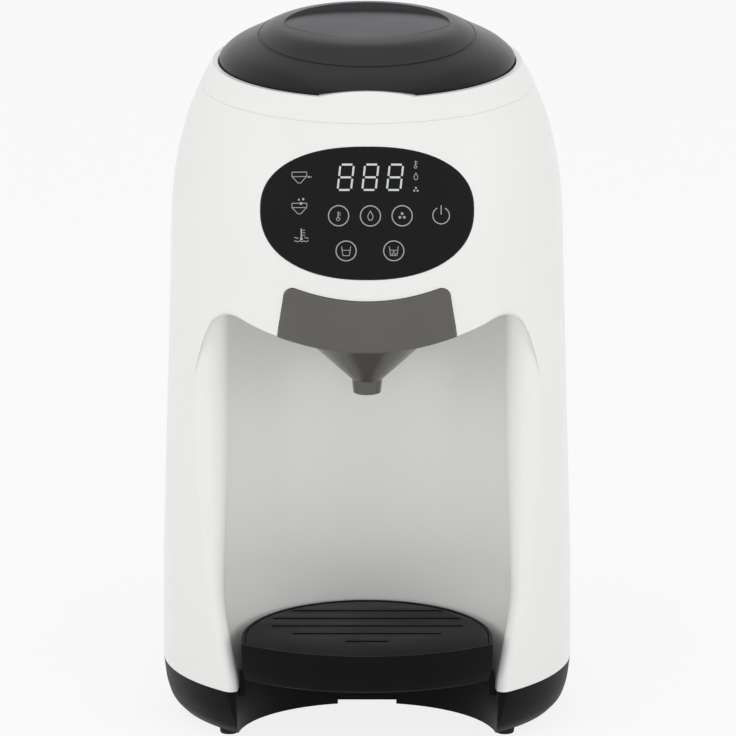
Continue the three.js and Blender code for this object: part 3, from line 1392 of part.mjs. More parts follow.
function trayCover() {
  const sheet = prismUp(trayOutline(coverSeat + gap, coverSeat + coverRearGap), trayTop - coverThick, trayTop);
  const sideRearY = mix(trayFrontY, trayRearY, traySideShare);
  const slots = Array.from({ length: slotCount }, (_, i) => {
    const y = slotFrontY + i * slotPitch;
    const taper = Math.max(y - sideRearY, 0) / (trayRearY - sideRearY);
    const half = Math.min(Math.sqrt(slotCircleRadius ** 2 - (y - slotCircleY) ** 2),
      trayHalfWidth * Math.sqrt(1 - taper ** 2) - slotEdge);
    return prismUp(roundedRectangle(-half, half, y, y + slotWidth, slotWidth / 2, 3),
      trayTop - coverThick - overrun, trayTop + overrun);
  });
  return cut(sheet, ...slots);
}

// Hoses inside the housing
const dockNippleEnd = dockY - wellRadius - wellWall - nippleLength;
const hoseLow = wellFloor + nippleRadius;
const pumpInletZ = insideFloor + gap + pumpHeadHeight / 2;
const pumpTop = insideFloor + gap + pumpHeadHeight + pumpHeight + nippleLength;
const hoseBend = 12;

function dockHose() {
  const start = dockNippleEnd - gap;
  const end = pumpX + pumpHeadRadius + gap;
  return tube([[0, start, hoseLow], [0, start - hoseBend / 2, hoseLow], [0, pumpY + hoseBend, pumpInletZ],
    [end + hoseBend / 3, pumpY, pumpInletZ], [end, pumpY, pumpInletZ]], hoseRadius, { steps: 14 });
}

function heaterHose() {
  const start = pumpTop + gap;
  const end = heaterBottom - gap;
  const crest = start + hoseBend / 2;
  const trough = end - 1.5 * hoseBend;
  const across = (share, z) => [mix(pumpX, heaterX, share), mix(pumpY, heaterY, share), z];
  return tube([across(0, start), across(0, crest), across(0.2, crest + hoseRadius),
    across(0.42, start - hoseBend / 2), across(0.52, mix(trough, start, 0.4)), across(0.75, trough),
    across(0.97, trough + hoseBend / 3),
    across(1, end - hoseBend / 2), across(1, end)], hoseRadius, { steps: 18 });
}

function nozzleHose() {
  const start = heaterTop + nippleLength + gap;
  const high = nozzleTop + hoseBend / 3;
  return tube([[heaterX, heaterY, start], [heaterX, heaterY, start + hoseBend],
    [hoseHoleX, hoseHoleY, deckBottom - hoseBend], [hoseHoleX, hoseHoleY, deckTop],
    [hoseHoleX - hoseBend / 3, hoseHoleY - hoseBend, high + hoseRadius],
    [hoseHoleX - hoseBend / 2, 0, high + hoseRadius],
    [nozzleX + hoseBend / 2, nozzleY + hoseBend, high + hoseRadius],
    [nozzleX, nozzleY, high], [nozzleX, nozzleY, nozzleTop + gap]], hoseRadius, { steps: 22 });
}

// The whole object. Its origin is on the standing surface, under the middle of its outline.
const machine = new THREE.Group();
machine.position.y = -(trayFrontY + shelfRear) / 2;

const frontFootReach = baseToeRadius - frontFootInset;
const frontFootTurn = frontFootTurnShare * Math.PI;
const frontFootX = frontFootReach * Math.cos(frontFootTurn);
const frontFootY = -frontFootReach * Math.sin(frontFootTurn);
const rearFootX = shelfHalfWidth - rearFootInset;
const rearFootY = shelfRear - shelfCornerRadius / 2;
const footPlaces = { foot_front_left: [-frontFootX, frontFootY], foot_front_right: [frontFootX, frontFootY],
  foot_rear_left: [-rearFootX, rearFootY], foot_rear_right: [rearFootX, rearFootY] };
for (const [name, [x, y]] of Object.entries(footPlaces)) {
  const mesh = piece(name, foot(), rubberBlack);
  mesh.position.set(x, y, 0);
  machine.add(mesh);
}

machine.add(
  piece('base_pan', basePan(), satinBlack),
  piece('main_shell', mainShell(), glossWhite),
  piece('top_collar', topCollar(), glossWhite),
  piece('rear_cover', rearCover(), glossWhite),
  piece('mechanism_deck', mechanismDeck(), nylonWhite),
  piece('powder_chute', powderChute(), nylonWhite),
  piece('water_nozzle', waterNozzle(), nylonWhite),
  piece('dosing_motor', dosingMotor(), steel),
  piece('drive_gear', driveGear(), nylonWhite),
  piece('control_panel', controlPanel(), panelGlass),
  piece('display_board', displayBoard(), boardGreen),
  piece('display_module', displayModule(), satinBlack),
  piece('power_board', powerBoard(), boardGreen),
  piece('water_pump', waterPump(), satinBlack),
  piece('heater_tube', heaterTube(), castAluminium),
  piece('heater_bracket', heaterBracket(), steel),
  piece('temperature_probe', temperatureProbe(), steel),
  piece('dock_hose', dockHose(), siliconeHose),
  piece('heater_hose', heaterHose(), siliconeHose),
  piece('nozzle_hose', nozzleHose(), siliconeHose),
  piece('tank_dock', tankDock(), satinBlack),
  piece('power_inlet', powerInlet(), satinBlack),
  piece('mixing_funnel', mixingFunnel(), smokyClear),
);

const pinion = piece('motor_pinion', motorPinion(), nylonWhite);
pinion.position.y = motorY;
machine.add(pinion);
machine.getObjectByName('dosing_motor').position.y = motorY;

const hopper = new THREE.Group();
hopper.add(
  piece('hopper_cup', hopperCup(), clearPlastic),
  piece('dosing_wheel', dosingWheel(), nylonWhite),
  piece('levelling_plate', levellingPlate(), nylonWhite),
  piece('stirrer', stirrer(), nylonWhite),
  piece('lid', lid(), glossGraphite),
  piece('lid_seal', lidSeal(), rubberBlack),
);
machine.add(hopper);

const tray = new THREE.Group();
tray.add(piece('drip_tray', dripTray(), satinBlack), piece('tray_cover', trayCover(), satinBlack));
machine.add(tray);

const tank = new THREE.Group();
tank.add(
  piece('water_tank', waterTank(), clearPlastic),
  piece('tank_flap', tankFlap(), satinBlack),
  piece('tank_valve', tankValve(), nylonWhite),
  piece('valve_spring', valveSpring(), steel),
);
machine.add(tank);

export default machine;
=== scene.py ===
"""Looks of the automatic formula maker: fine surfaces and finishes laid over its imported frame.

Sizes are millimetres in the CAD's own axes, with the front towards -Y and heights from the standing
surface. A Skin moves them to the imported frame's metres when it becomes an object.
"""

import logging
import math
from collections.abc import Callable, Sequence
from dataclasses import dataclass, field
from enum import Enum

import bmesh
import bpy
import numpy as np
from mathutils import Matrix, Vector


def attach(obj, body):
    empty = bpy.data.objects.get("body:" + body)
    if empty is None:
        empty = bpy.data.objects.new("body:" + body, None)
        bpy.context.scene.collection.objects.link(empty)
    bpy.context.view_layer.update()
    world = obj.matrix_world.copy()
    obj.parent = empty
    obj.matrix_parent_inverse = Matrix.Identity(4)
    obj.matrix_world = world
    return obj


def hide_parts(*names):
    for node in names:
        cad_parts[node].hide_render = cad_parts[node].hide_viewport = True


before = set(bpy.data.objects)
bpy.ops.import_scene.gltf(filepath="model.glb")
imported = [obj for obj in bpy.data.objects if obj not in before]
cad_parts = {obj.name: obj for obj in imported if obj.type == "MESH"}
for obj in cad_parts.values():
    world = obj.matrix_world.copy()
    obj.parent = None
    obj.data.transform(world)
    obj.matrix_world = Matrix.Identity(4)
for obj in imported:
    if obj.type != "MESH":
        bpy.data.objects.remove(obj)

log = logging.getLogger("scene")
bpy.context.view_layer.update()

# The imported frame's origin is under the middle of the outline, this far along Y from the CAD's
FRAME_SHIFT = -22.25
MILLI = 0.001
WELD = 1e-6
SMOOTH_ANGLE = math.radians(32)


# Shapes as numpy arrays


def mix(low: float, high: float, share: np.ndarray | float) -> np.ndarray | float:
    """The value a share of the way from low to high."""
    return low + (high - low) * share


def smoothstep(start: float, end: float, value: np.ndarray) -> np.ndarray:
    """0 before start, 1 after end, and the cubic 3t^2 - 2t^3 in between."""
    share = np.clip((value - start) / (end - start), 0.0, 1.0)
    return share * share * (3 - 2 * share)


def flipped(points: np.ndarray) -> np.ndarray:
    """The points mirrored across X; their last axis holds x first."""
    return points * np.where(np.arange(points.shape[-1]) == 0, -1.0, 1.0)


def mirrored(half: np.ndarray) -> np.ndarray:
    """A (rows, columns, 3) half grid from the middle out, carried on to -X as one grid."""
    return np.concatenate([flipped(half[:, ::-1]), half[:, 1:]], axis=1)


def soften(corners: Sequence[tuple[float, float, float]], steps: int = 6) -> np.ndarray:
    """A flat path whose corners are rounded.

    Each corner becomes a quadratic curve from the point a setback before it to the same setback after
    it, with the corner as its control point.

    Args:
        corners: (first, second, setback) of each corner; a setback of 0 keeps it sharp.
        steps: pieces that a rounded corner is drawn in.

    Returns:
        The path's points, (n, 2).
    """
    places = np.array([corner[:2] for corner in corners], float)
    run: list[np.ndarray] = []
    for i, (_, _, setback) in enumerate(corners):
        here = places[i]
        if setback <= 0 or i in (0, len(corners) - 1):
            run.append(here[None])
            continue
        before, after = places[i - 1] - here, places[i + 1] - here
        start = here + before / np.linalg.norm(before) * setback
        end = here + after / np.linalg.norm(after) * setback
        share = np.linspace(0, 1, steps + 1)[:, None]
        run.append((1 - share) ** 2 * start + 2 * share * (1 - share) * here + share**2 * end)
    return np.concatenate(run)


def rounded_rectangle(
    x0: float, x1: float, y0: float, y1: float, radius: float, steps: int = 8
) -> np.ndarray:
    """A rectangle whose four corners are quarter circles, as one closed outline."""
    turns = np.linspace(0, math.pi / 2, steps + 1)
    corners = ((x1, y0, -0.5), (x1, y1, 0.0), (x0, y1, 0.5), (x0, y0, 1.0))
    parts = []
    for x, y, start in corners:
        centre = (x - math.copysign(radius, x - (x0 + x1) / 2), y - math.copysign(radius, y - (y0 + y1) / 2))
        turn = start * math.pi + turns
        parts.append(np.stack([centre[0] + radius * np.cos(turn), centre[1] + radius * np.sin(turn)], 1))
    return np.concatenate(parts)


def circle(radius: float, sides: int, x: float = 0.0, y: float = 0.0) -> np.ndarray:
    """A circle's points, one turn without the last."""
    turn = np.arange(sides) / sides * 2 * math.pi
    return np.stack([x + radius * np.cos(turn), y + radius * np.sin(turn)], axis=1)


class Plane(Enum):
    """Which way a flat outline is carried to make a prism."""

    UP = "outline in x and y, carried along Z"
    BACK = "outline in x and z, carried along Y"
    ACROSS = "outline in y and z, carried along X"


@dataclass
class Skin:
    """Patches of one closed surface, gathered as points in CAD millimetres and as faces."""

    points: list[np.ndarray] = field(default_factory=list)
    faces: list[list[int]] = field(default_factory=list)
    count: int = 0

    def grid(self, places: np.ndarray, wrap: bool = False) -> "Skin":
        """Adds a (rows, columns, 3) grid of quads; wrap joins the last column to the first."""
        rows, columns, _ = places.shape
        index = self.count + np.arange(rows * columns).reshape(rows, columns)
        if wrap:
            index = np.concatenate([index, index[:, :1]], axis=1)
        quads = np.stack([index[:-1, :-1], index[:-1, 1:], index[1:, 1:], index[1:, :-1]], axis=-1)
        self.faces += quads.reshape(-1, 4).tolist()
        return self._take(places.reshape(-1, 3))

    def cap(self, ring: np.ndarray) -> "Skin":
        """Adds one flat face over a closed ring of points."""
        self.faces.append(list(range(self.count, self.count + len(ring))))
        return self._take(ring)

    def _take(self, places: np.ndarray) -> "Skin":
        """Keeps a block of points."""
        self.points.append(places)
        self.count += len(places)
        return self

    def build(self, name: str) -> bpy.types.Object:
        """Makes the object, with its place in its mesh, and links it to the scene.

        Doubles closer than WELD are merged, so that seams and poles close, and then the faces are
        turned outwards.
        """
        places = np.concatenate(self.points)
        places = (places + np.array([0.0, FRAME_SHIFT, 0.0])) * MILLI
        mesh = bpy.data.meshes.new(name)
        mesh.from_pydata(places.tolist(), [], self.faces)
        work = bmesh.new()
        work.from_mesh(mesh)
        bmesh.ops.remove_doubles(work, verts=work.verts, dist=WELD)
        bmesh.ops.dissolve_degenerate(work, edges=work.edges, dist=WELD)
        bmesh.ops.recalc_face_normals(work, faces=work.faces)
        work.to_mesh(mesh)
        work.free()
        made = bpy.data.objects.new(name, mesh)
        bpy.context.scene.collection.objects.link(made)
        return made


def revolve(profile: np.ndarray, sides: int, x: float = 0.0, y: float = 0.0) -> Skin:
    """A solid of revolution: each (radius, height) of the profile goes once round a vertical axis."""
    turn = np.arange(sides) / sides * 2 * math.pi
    radius, height = profile[:, :1], np.broadcast_to(profile[:, 1:], (len(profile), sides))
    places = np.stack([x + radius * np.cos(turn), y + radius * np.sin(turn), height], axis=-1)
    return Skin().grid(places, wrap=True)


def ring_of(profile: np.ndarray, sides: int, x: float = 0.0, y: float = 0.0) -> Skin:
    """A solid of revolution from a closed profile that stays off the axis."""
    return revolve(np.concatenate([profile, profile[:1]]), sides, x, y)


def prism(outline: np.ndarray, low: float, high: float, plane: Plane = Plane.UP) -> Skin:
    """A closed prism: the outline at low and at high, joined by quads and capped."""
    order = {Plane.UP: (0, 1, 2), Plane.BACK: (0, 2, 1), Plane.ACROSS: (1, 2, 0)}[plane]
    ends = []
    for level in (low, high):
        ring = np.empty((len(outline), 3))
        ring[:, order[0]], ring[:, order[1]], ring[:, order[2]] = outline[:, 0], outline[:, 1], level
        ends.append(ring)
    return Skin().grid(np.stack(ends), wrap=True).cap(ends[0]).cap(ends[1])


def block(half: float, y0: float, y1: float, low: float, high: float) -> Skin:
    """A box that reaches half its width to either side."""
    return prism(np.array([(-half, y0), (half, y0), (half, y1), (-half, y1)]), low, high)


def closed_stack(rings: Sequence[np.ndarray]) -> Skin:
    """A closed skin through rings with as many points each."""
    return Skin().grid(np.stack(rings), wrap=True).cap(rings[0]).cap(rings[-1])


def stack(outline: Callable[[float], np.ndarray], levels: Sequence[tuple[float, float]]) -> Skin:
    """A closed skin through an outline drawn in by an inset, at each (height, inset)."""
    plans = [(outline(inset), height) for height, inset in levels]
    return closed_stack([np.column_stack([plan, np.full(len(plan), height)]) for plan, height in plans])


def heading(path: np.ndarray, closed: bool) -> np.ndarray:
    """The unit direction of a path at each of its points."""
    ahead = np.roll(path, -1, axis=0) - np.roll(path, 1, axis=0) if closed else np.gradient(path, axis=0)
    return ahead / np.linalg.norm(ahead, axis=1, keepdims=True)


def tube(path: np.ndarray, radius: float, sides: int = 10, closed: bool = True) -> Skin:
    """A tube: a circle carried along a path, square to it, as a ring or with its ends capped."""
    ahead = heading(path, closed)
    side = np.cross(ahead, np.array([0.0, 0.0, 1.0]))
    side /= np.linalg.norm(side, axis=1, keepdims=True)
    rise = np.cross(side, ahead)
    turn = (np.arange(sides) / sides * 2 * math.pi)[None, :, None]
    places = path[:, None] + radius * (side[:, None] * np.cos(turn) + rise[:, None] * np.sin(turn))
    if closed:
        return Skin().grid(np.concatenate([places, places[:1]]), wrap=True)
    return Skin().grid(places, wrap=True).cap(places[0]).cap(places[-1])


class Join(Enum):
    """How a second solid meets the first."""

    CUT = "DIFFERENCE"
    ADD = "UNION"
    KEEP = "INTERSECT"


def merge(body: bpy.types.Object, tools: Sequence[Skin | bpy.types.Object], how: Join) -> bpy.types.Object:
    """Cuts or joins closed solids one after another, and keeps the result in the body's mesh.

    Args:
        body: the solid that is changed.
        tools: the solids that change it; they are removed afterwards.
        how: whether they are cut away, added or kept in common.

    Returns:
        The body.
    """
    for tool in tools:
        other = tool.build("tool") if isinstance(tool, Skin) else tool
        modifier = body.modifiers.new("join", "BOOLEAN")
        modifier.operation = how.value
        modifier.solver = "EXACT"
        modifier.object = other
        graph = bpy.context.evaluated_depsgraph_get()
        made = bpy.data.meshes.new_from_object(body.evaluated_get(graph))
        body.modifiers.clear()
        body.data = made
        bpy.data.objects.remove(other)
    return body


def polish(mesh: bpy.types.Mesh) -> None:
    """Shades the mesh smooth, with a hard edge wherever faces meet by more than SMOOTH_ANGLE."""
    mesh.polygons.foreach_set("use_smooth", np.ones(len(mesh.polygons), bool))
    mesh.set_sharp_from_angle(angle=SMOOTH_ANGLE)
    mesh.update()


# The housing's outside, which most visible pieces follow


@dataclass(frozen=True)
class Body:
    """The housing's round outside and the bay cut into its front."""

    radius: float = 90.0
    skirt_top: float = 70.0
    shoulder_height: float = 211.0
    shoulder_radius: float = 86.5
    rim_height: float = 294.9
    rim_radius: float = 68.2
    dome_power: float = 2.6
    wall: float = 2.6
    bottom: float = 24.1
    top: float = 284.85
    back: float = 68.0
    base_top: float = 23.8
    tray_bottom: float = 32.0
    chin_height: float = 184.5
    chin_radius: float = 155.9
    corner_x: float = 54.0
    corner_control: tuple[float, float] = (72.0, 200.0)
    corner_end: tuple[float, float] = (77.0, 155.0)
    edge_round: float = 0.9
    corner_round: float = 6.5
    foot_half: float = 57.4
    bay_half: float = 64.0
    foot_rear: float = -11.3
    rear_rise: float = 3.2
    foot_nose: float = 3.2
    nose: float = 8.5
    full_height: float = 156.0

    def radius_at(self, z: np.ndarray | float) -> np.ndarray:
        """Outside radius at a height: straight skirt, slight draft, then a power curve to the rim."""
        z = np.asarray(z, float)
        share = (z - self.skirt_top) / (self.shoulder_height - self.skirt_top)
        draft = mix(self.radius, self.shoulder_radius, share)
        climb = np.clip((z - self.shoulder_height) / (self.rim_height - self.shoulder_height), 0, None)
        dome = mix(self.rim_radius, self.shoulder_radius, 1 - climb**self.dome_power)
        return np.where(z <= self.skirt_top, self.radius, np.where(z <= self.shoulder_height, draft, dome))

    def front(self, x: np.ndarray, z: np.ndarray, proud: float | np.ndarray = 0.0) -> np.ndarray:
        """The front's y over (x, z), on the outside moved out by proud."""
        return -np.sqrt((self.radius_at(z) + proud) ** 2 - np.asarray(x) ** 2)

    def chin_at(self, x: np.ndarray | float) -> np.ndarray | float:
        """Height of the chin's lower edge: a shallow parabola."""
        return self.chin_height + np.asarray(x) ** 2 / (2 * self.chin_radius)

    def bay_plan(self, z: np.ndarray, share: np.ndarray, inset: float = 0.0) -> np.ndarray:
        """The bay's wall in plan, from the rear's middle to the fin's outer contact.

        The wall is a half ellipse, narrower at the foot and full from full_height. Where its parallel
        curve comes within a nose radius of the outside, a circle of that radius takes over and turns
        out until it touches the outside. That turn is found by halving, for all heights at once.

        Args:
            z: heights, any shape that broadcasts with share.
            share: 0 at the rear's middle, WALL_SHARE at the wall's end, 1 at the outer contact.
            inset: how far the outline lies behind the visible wall.

        Returns:
            x and y, in one array with a last axis of 2.
        """
        z, share = np.broadcast_arrays(np.asarray(z, float), np.asarray(share, float))
        outside = self.radius_at(z)
        side = mix(self.foot_half, self.bay_half, smoothstep(self.base_top, self.skirt_top, z))
        rear = mix(self.foot_rear, 0.0, smoothstep(self.base_top, self.tray_bottom, z))
        rear = rear + self.rear_rise * smoothstep(self.tray_bottom, self.full_height, z)
        nose = mix(self.foot_nose, self.nose, smoothstep(self.base_top, self.full_height, z))
        centre_y = -np.sqrt(outside**2 - side**2)
        depth = rear - centre_y

        def wall(turn: np.ndarray) -> tuple[np.ndarray, np.ndarray]:
            """The wall's point and outward normal at a turn from the rear's middle."""
            point = np.stack([side * np.sin(turn), centre_y + depth * np.cos(turn)], axis=-1)
            normal = np.stack([np.sin(turn) / side, np.cos(turn) / depth], axis=-1)
            return point, normal / np.linalg.norm(normal, axis=-1, keepdims=True)

        low, high = np.full(z.shape, math.pi / 4), np.full(z.shape, math.pi / 2)
        for _ in range(40):
            middle = (low + high) / 2
            point, normal = wall(middle)
            inside = np.linalg.norm(point + normal * nose[..., None], axis=-1) < outside - nose
            low, high = np.where(inside, middle, low), np.where(inside, high, middle)
        point, normal = wall(low)
        centre = point + normal * nose[..., None]
        start = np.arctan2(-normal[..., 1], -normal[..., 0])
        sweep = np.mod(np.arctan2(centre[..., 1], centre[..., 0]) - start, 2 * math.pi)
        turn = start + sweep * (share - WALL_SHARE) / (1 - WALL_SHARE)
        round_nose = centre + (nose - inset)[..., None] * np.stack([np.cos(turn), np.sin(turn)], axis=-1)
        along, across = wall(low * np.minimum(share / WALL_SHARE, 1.0))
        return np.where((share > WALL_SHARE)[..., None], round_nose, along + across * inset)

    def bay_top(self, x: np.ndarray, inset: float = 0.0) -> np.ndarray:
        """Height at which the bay's front view ends over x: the chin, then the round corner.

        The corner is a quadratic curve from the chin's end by corner_control to corner_end, solved
        for its own parameter.
        """
        x = np.asarray(x, float)
        start = np.array([self.corner_x, self.chin_at(self.corner_x) + inset])
        control = np.array([self.corner_control[0], self.corner_control[1] + inset])
        end = np.array([self.corner_end[0] + inset, self.corner_end[1]])
        a = start[0] - 2 * control[0] + end[0]
        b = 2 * (control[0] - start[0])
        root = np.sqrt(np.maximum(b * b - 4 * a * (start[0] - x), 0.0))
        t = np.clip((-b + root) / (2 * a), 0.0, 1.0)
        corner = (1 - t) ** 2 * start[1] + 2 * t * (1 - t) * control[1] + t**2 * end[1]
        return np.where(x <= self.corner_x, self.chin_at(x) + inset, corner)


# The share of the bay's plan that its wall takes up; the rest is the fin's nose
WALL_SHARE = 0.72
BODY = Body()


@dataclass(frozen=True)
class Tab:
    """The collar's raised tab, which the lid's front notch goes round."""

    half_width: float = 21.2
    rise: float = 2.6
    bottom: float = 291.2
    inner: float = 60.1

    def outline(self, grow: float, bottom: float) -> np.ndarray:
        """The tab's front view: a flat arc over its width, closed down to bottom."""
        radius = (self.half_width**2 + self.rise**2) / (2 * self.rise)
        centre = BODY.rim_height + self.rise - radius
        half = math.asin(self.half_width / radius)
        turn = np.linspace(-half, half, 49)
        x = (radius + grow) * np.sin(turn) * (1 + grow / radius)
        arc = np.stack([x, centre + (radius + grow) * np.cos(turn)], 1)
        wide = self.half_width + 2 * grow
        return np.concatenate([[(-wide, bottom)], arc, [(wide, bottom)]])


TAB = Tab()


# Finishes


def linear(colour: str) -> tuple[float, float, float, float]:
    """An sRGB hex colour as linear red, green, blue and 1."""
    parts = [int(colour[i : i + 2], 16) / 255 for i in (1, 3, 5)]
    red, green, blue = (v / 12.92 if v <= 0.04045 else ((v + 0.055) / 1.055) ** 2.4 for v in parts)
    return red, green, blue, 1.0


def add_node(
    tree: bpy.types.NodeTree,
    kind: str,
    settings: dict[str, object] | None = None,
    inputs: dict[str | int, object] | None = None,
) -> bpy.types.Node:
    """Adds a node to a tree.

    Args:
        tree: the node tree.
        kind: the node's type name.
        settings: attributes to set on it.
        inputs: values or links by input name or number; a link is another node's output socket.

    Returns:
        The node.
    """
    node = tree.nodes.new(kind)
    for name, value in (settings or {}).items():
        setattr(node, name, value)
    for name, value in (inputs or {}).items():
        if isinstance(value, bpy.types.NodeSocket):
            tree.links.new(value, node.inputs[name])
        else:
            node.inputs[name].default_value = value
    return node


def blank_tree(owner: bpy.types.Material | bpy.types.World) -> bpy.types.NodeTree:
    """Gives a material or the world an empty node tree."""
    owner.use_nodes = True
    owner.node_tree.nodes.clear()
    return owner.node_tree


def seen_directly(tree: bpy.types.NodeTree) -> bpy.types.NodeSocket:
    """1 on rays from the camera, through clear parts and in gloss, else 0."""
    rays = add_node(tree, "ShaderNodeLightPath").outputs
    seen = rays["Is Camera Ray"]
    for ray in ("Is Transmission Ray", "Is Glossy Ray"):
        most = add_node(tree, "ShaderNodeMath", {"operation": "MAXIMUM"}, {0: seen, 1: rays[ray]})
        seen = most.outputs[0]
    return seen


@dataclass(frozen=True)
class Moulded:
    """A moulded or cast surface: a colour that drifts slightly, uneven gloss and a fine relief.

    Scales are the real sizes, in millimetres, of the patches that each pattern is made of.
    """

    name: str
    colour: str
    shade: str
    roughness: float
    rough_spread: float = 0.06
    metallic: float = 0.0
    ior: float = 1.5
    specular: float = 0.5
    transmission: float = 0.0
    drift_size: float = 45.0
    relief_size: float = 1.2
    relief_depth: float = 0.02
    relief_detail: float = 3.0
    glow: float = 0.0

    def material(self) -> bpy.types.Material:
        """The node tree: two noises in Object coordinates drive colour, roughness and bump."""
        made = bpy.data.materials.new(self.name)
        tree = blank_tree(made)
        place = add_node(tree, "ShaderNodeTexCoord").outputs["Object"]
        drift = add_node(
            tree,
            "ShaderNodeTexNoise",
            inputs={"Vector": place, "Scale": 1000 / self.drift_size, "Detail": 2.0, "Roughness": 0.5},
        )
        grain = add_node(
            tree,
            "ShaderNodeTexNoise",
            inputs={"Vector": place, "Scale": 1000 / self.relief_size, "Detail": self.relief_detail},
        )
        colours = {0: drift.outputs["Fac"], 6: linear(self.colour), 7: linear(self.shade)}
        colour = add_node(tree, "ShaderNodeMix", {"data_type": "RGBA"}, colours)
        rough = add_node(
            tree,
            "ShaderNodeMapRange",
            inputs={
                "Value": drift.outputs["Fac"],
                "From Min": 0.3,
                "From Max": 0.7,
                "To Min": self.roughness,
                "To Max": self.roughness + self.rough_spread,
            },
        )
        relief = {"Height": grain.outputs["Fac"], "Strength": 0.35, "Distance": self.relief_depth * MILLI}
        bump = add_node(tree, "ShaderNodeBump", inputs=relief)
        shader = add_node(
            tree,
            "ShaderNodeBsdfPrincipled",
            inputs={
                "Base Color": colour.outputs[2],
                "Roughness": rough.outputs["Result"],
                "Normal": bump.outputs["Normal"],
                "Metallic": self.metallic,
                "IOR": self.ior,
                "Specular IOR Level": self.specular,
                "Transmission Weight": self.transmission,
            },
        )
        # Emission: the display's own light for the lit segments, a painted glow for the printed ink
        if self.glow > 0:
            shader.inputs["Emission Color"].default_value = linear(self.colour)
            shader.inputs["Emission Strength"].default_value = self.glow
        add_node(tree, "ShaderNodeOutputMaterial", inputs={"Surface": shader.outputs["BSDF"]})
        return made


@dataclass(frozen=True)
class Board:
    """A circuit board: green solder mask over copper tracks, with tinned pads in rows."""

    name: str = "solder_mask_board"
    mask: str = "#1c5a34"
    track: str = "#2f7a48"
    pad: str = "#c9c6b4"
    pitch: float = 2.54
    pad_reach: float = 0.22
    solder_height: float = 0.05

    def material(self) -> bpy.types.Material:
        """Voronoi cells a pin pitch apart give round pads; a brick pattern gives the tracks."""
        made = bpy.data.materials.new(self.name)
        tree = blank_tree(made)
        place = add_node(tree, "ShaderNodeTexCoord").outputs["Object"]
        upright = {"Vector": place, "Rotation": (math.radians(90), 0.0, 0.0)}
        turned = add_node(tree, "ShaderNodeMapping", inputs=upright)
        tracks = add_node(
            tree,
            "ShaderNodeTexBrick",
            {"offset": 0.37},
            {
                "Vector": turned.outputs["Vector"],
                "Color1": linear(self.mask),
                "Color2": linear(self.mask),
                "Mortar": linear(self.track),
                "Scale": 1000 / (self.pitch * 4),
                "Mortar Size": 0.03,
            },
        )
        cells = {"Vector": place, "Scale": 1000 / self.pitch, "Randomness": 0.15}
        pads = add_node(tree, "ShaderNodeTexVoronoi", inputs=cells)
        near = {0: pads.outputs["Distance"], 1: self.pad_reach}
        dots = add_node(tree, "ShaderNodeMath", {"operation": "LESS_THAN"}, near)
        colours = {0: dots.outputs[0], 6: tracks.outputs["Color"], 7: linear(self.pad)}
        colour = add_node(tree, "ShaderNodeMix", {"data_type": "RGBA"}, colours)
        relief = {"Height": dots.outputs[0], "Strength": 0.4, "Distance": self.solder_height * MILLI}
        bump = add_node(tree, "ShaderNodeBump", inputs=relief)
        shader = add_node(
            tree,
            "ShaderNodeBsdfPrincipled",
            inputs={"Base Color": colour.outputs[2], "Normal": bump.outputs["Normal"], "Roughness": 0.42},
        )
        add_node(tree, "ShaderNodeOutputMaterial", inputs={"Surface": shader.outputs["BSDF"]})
        return made


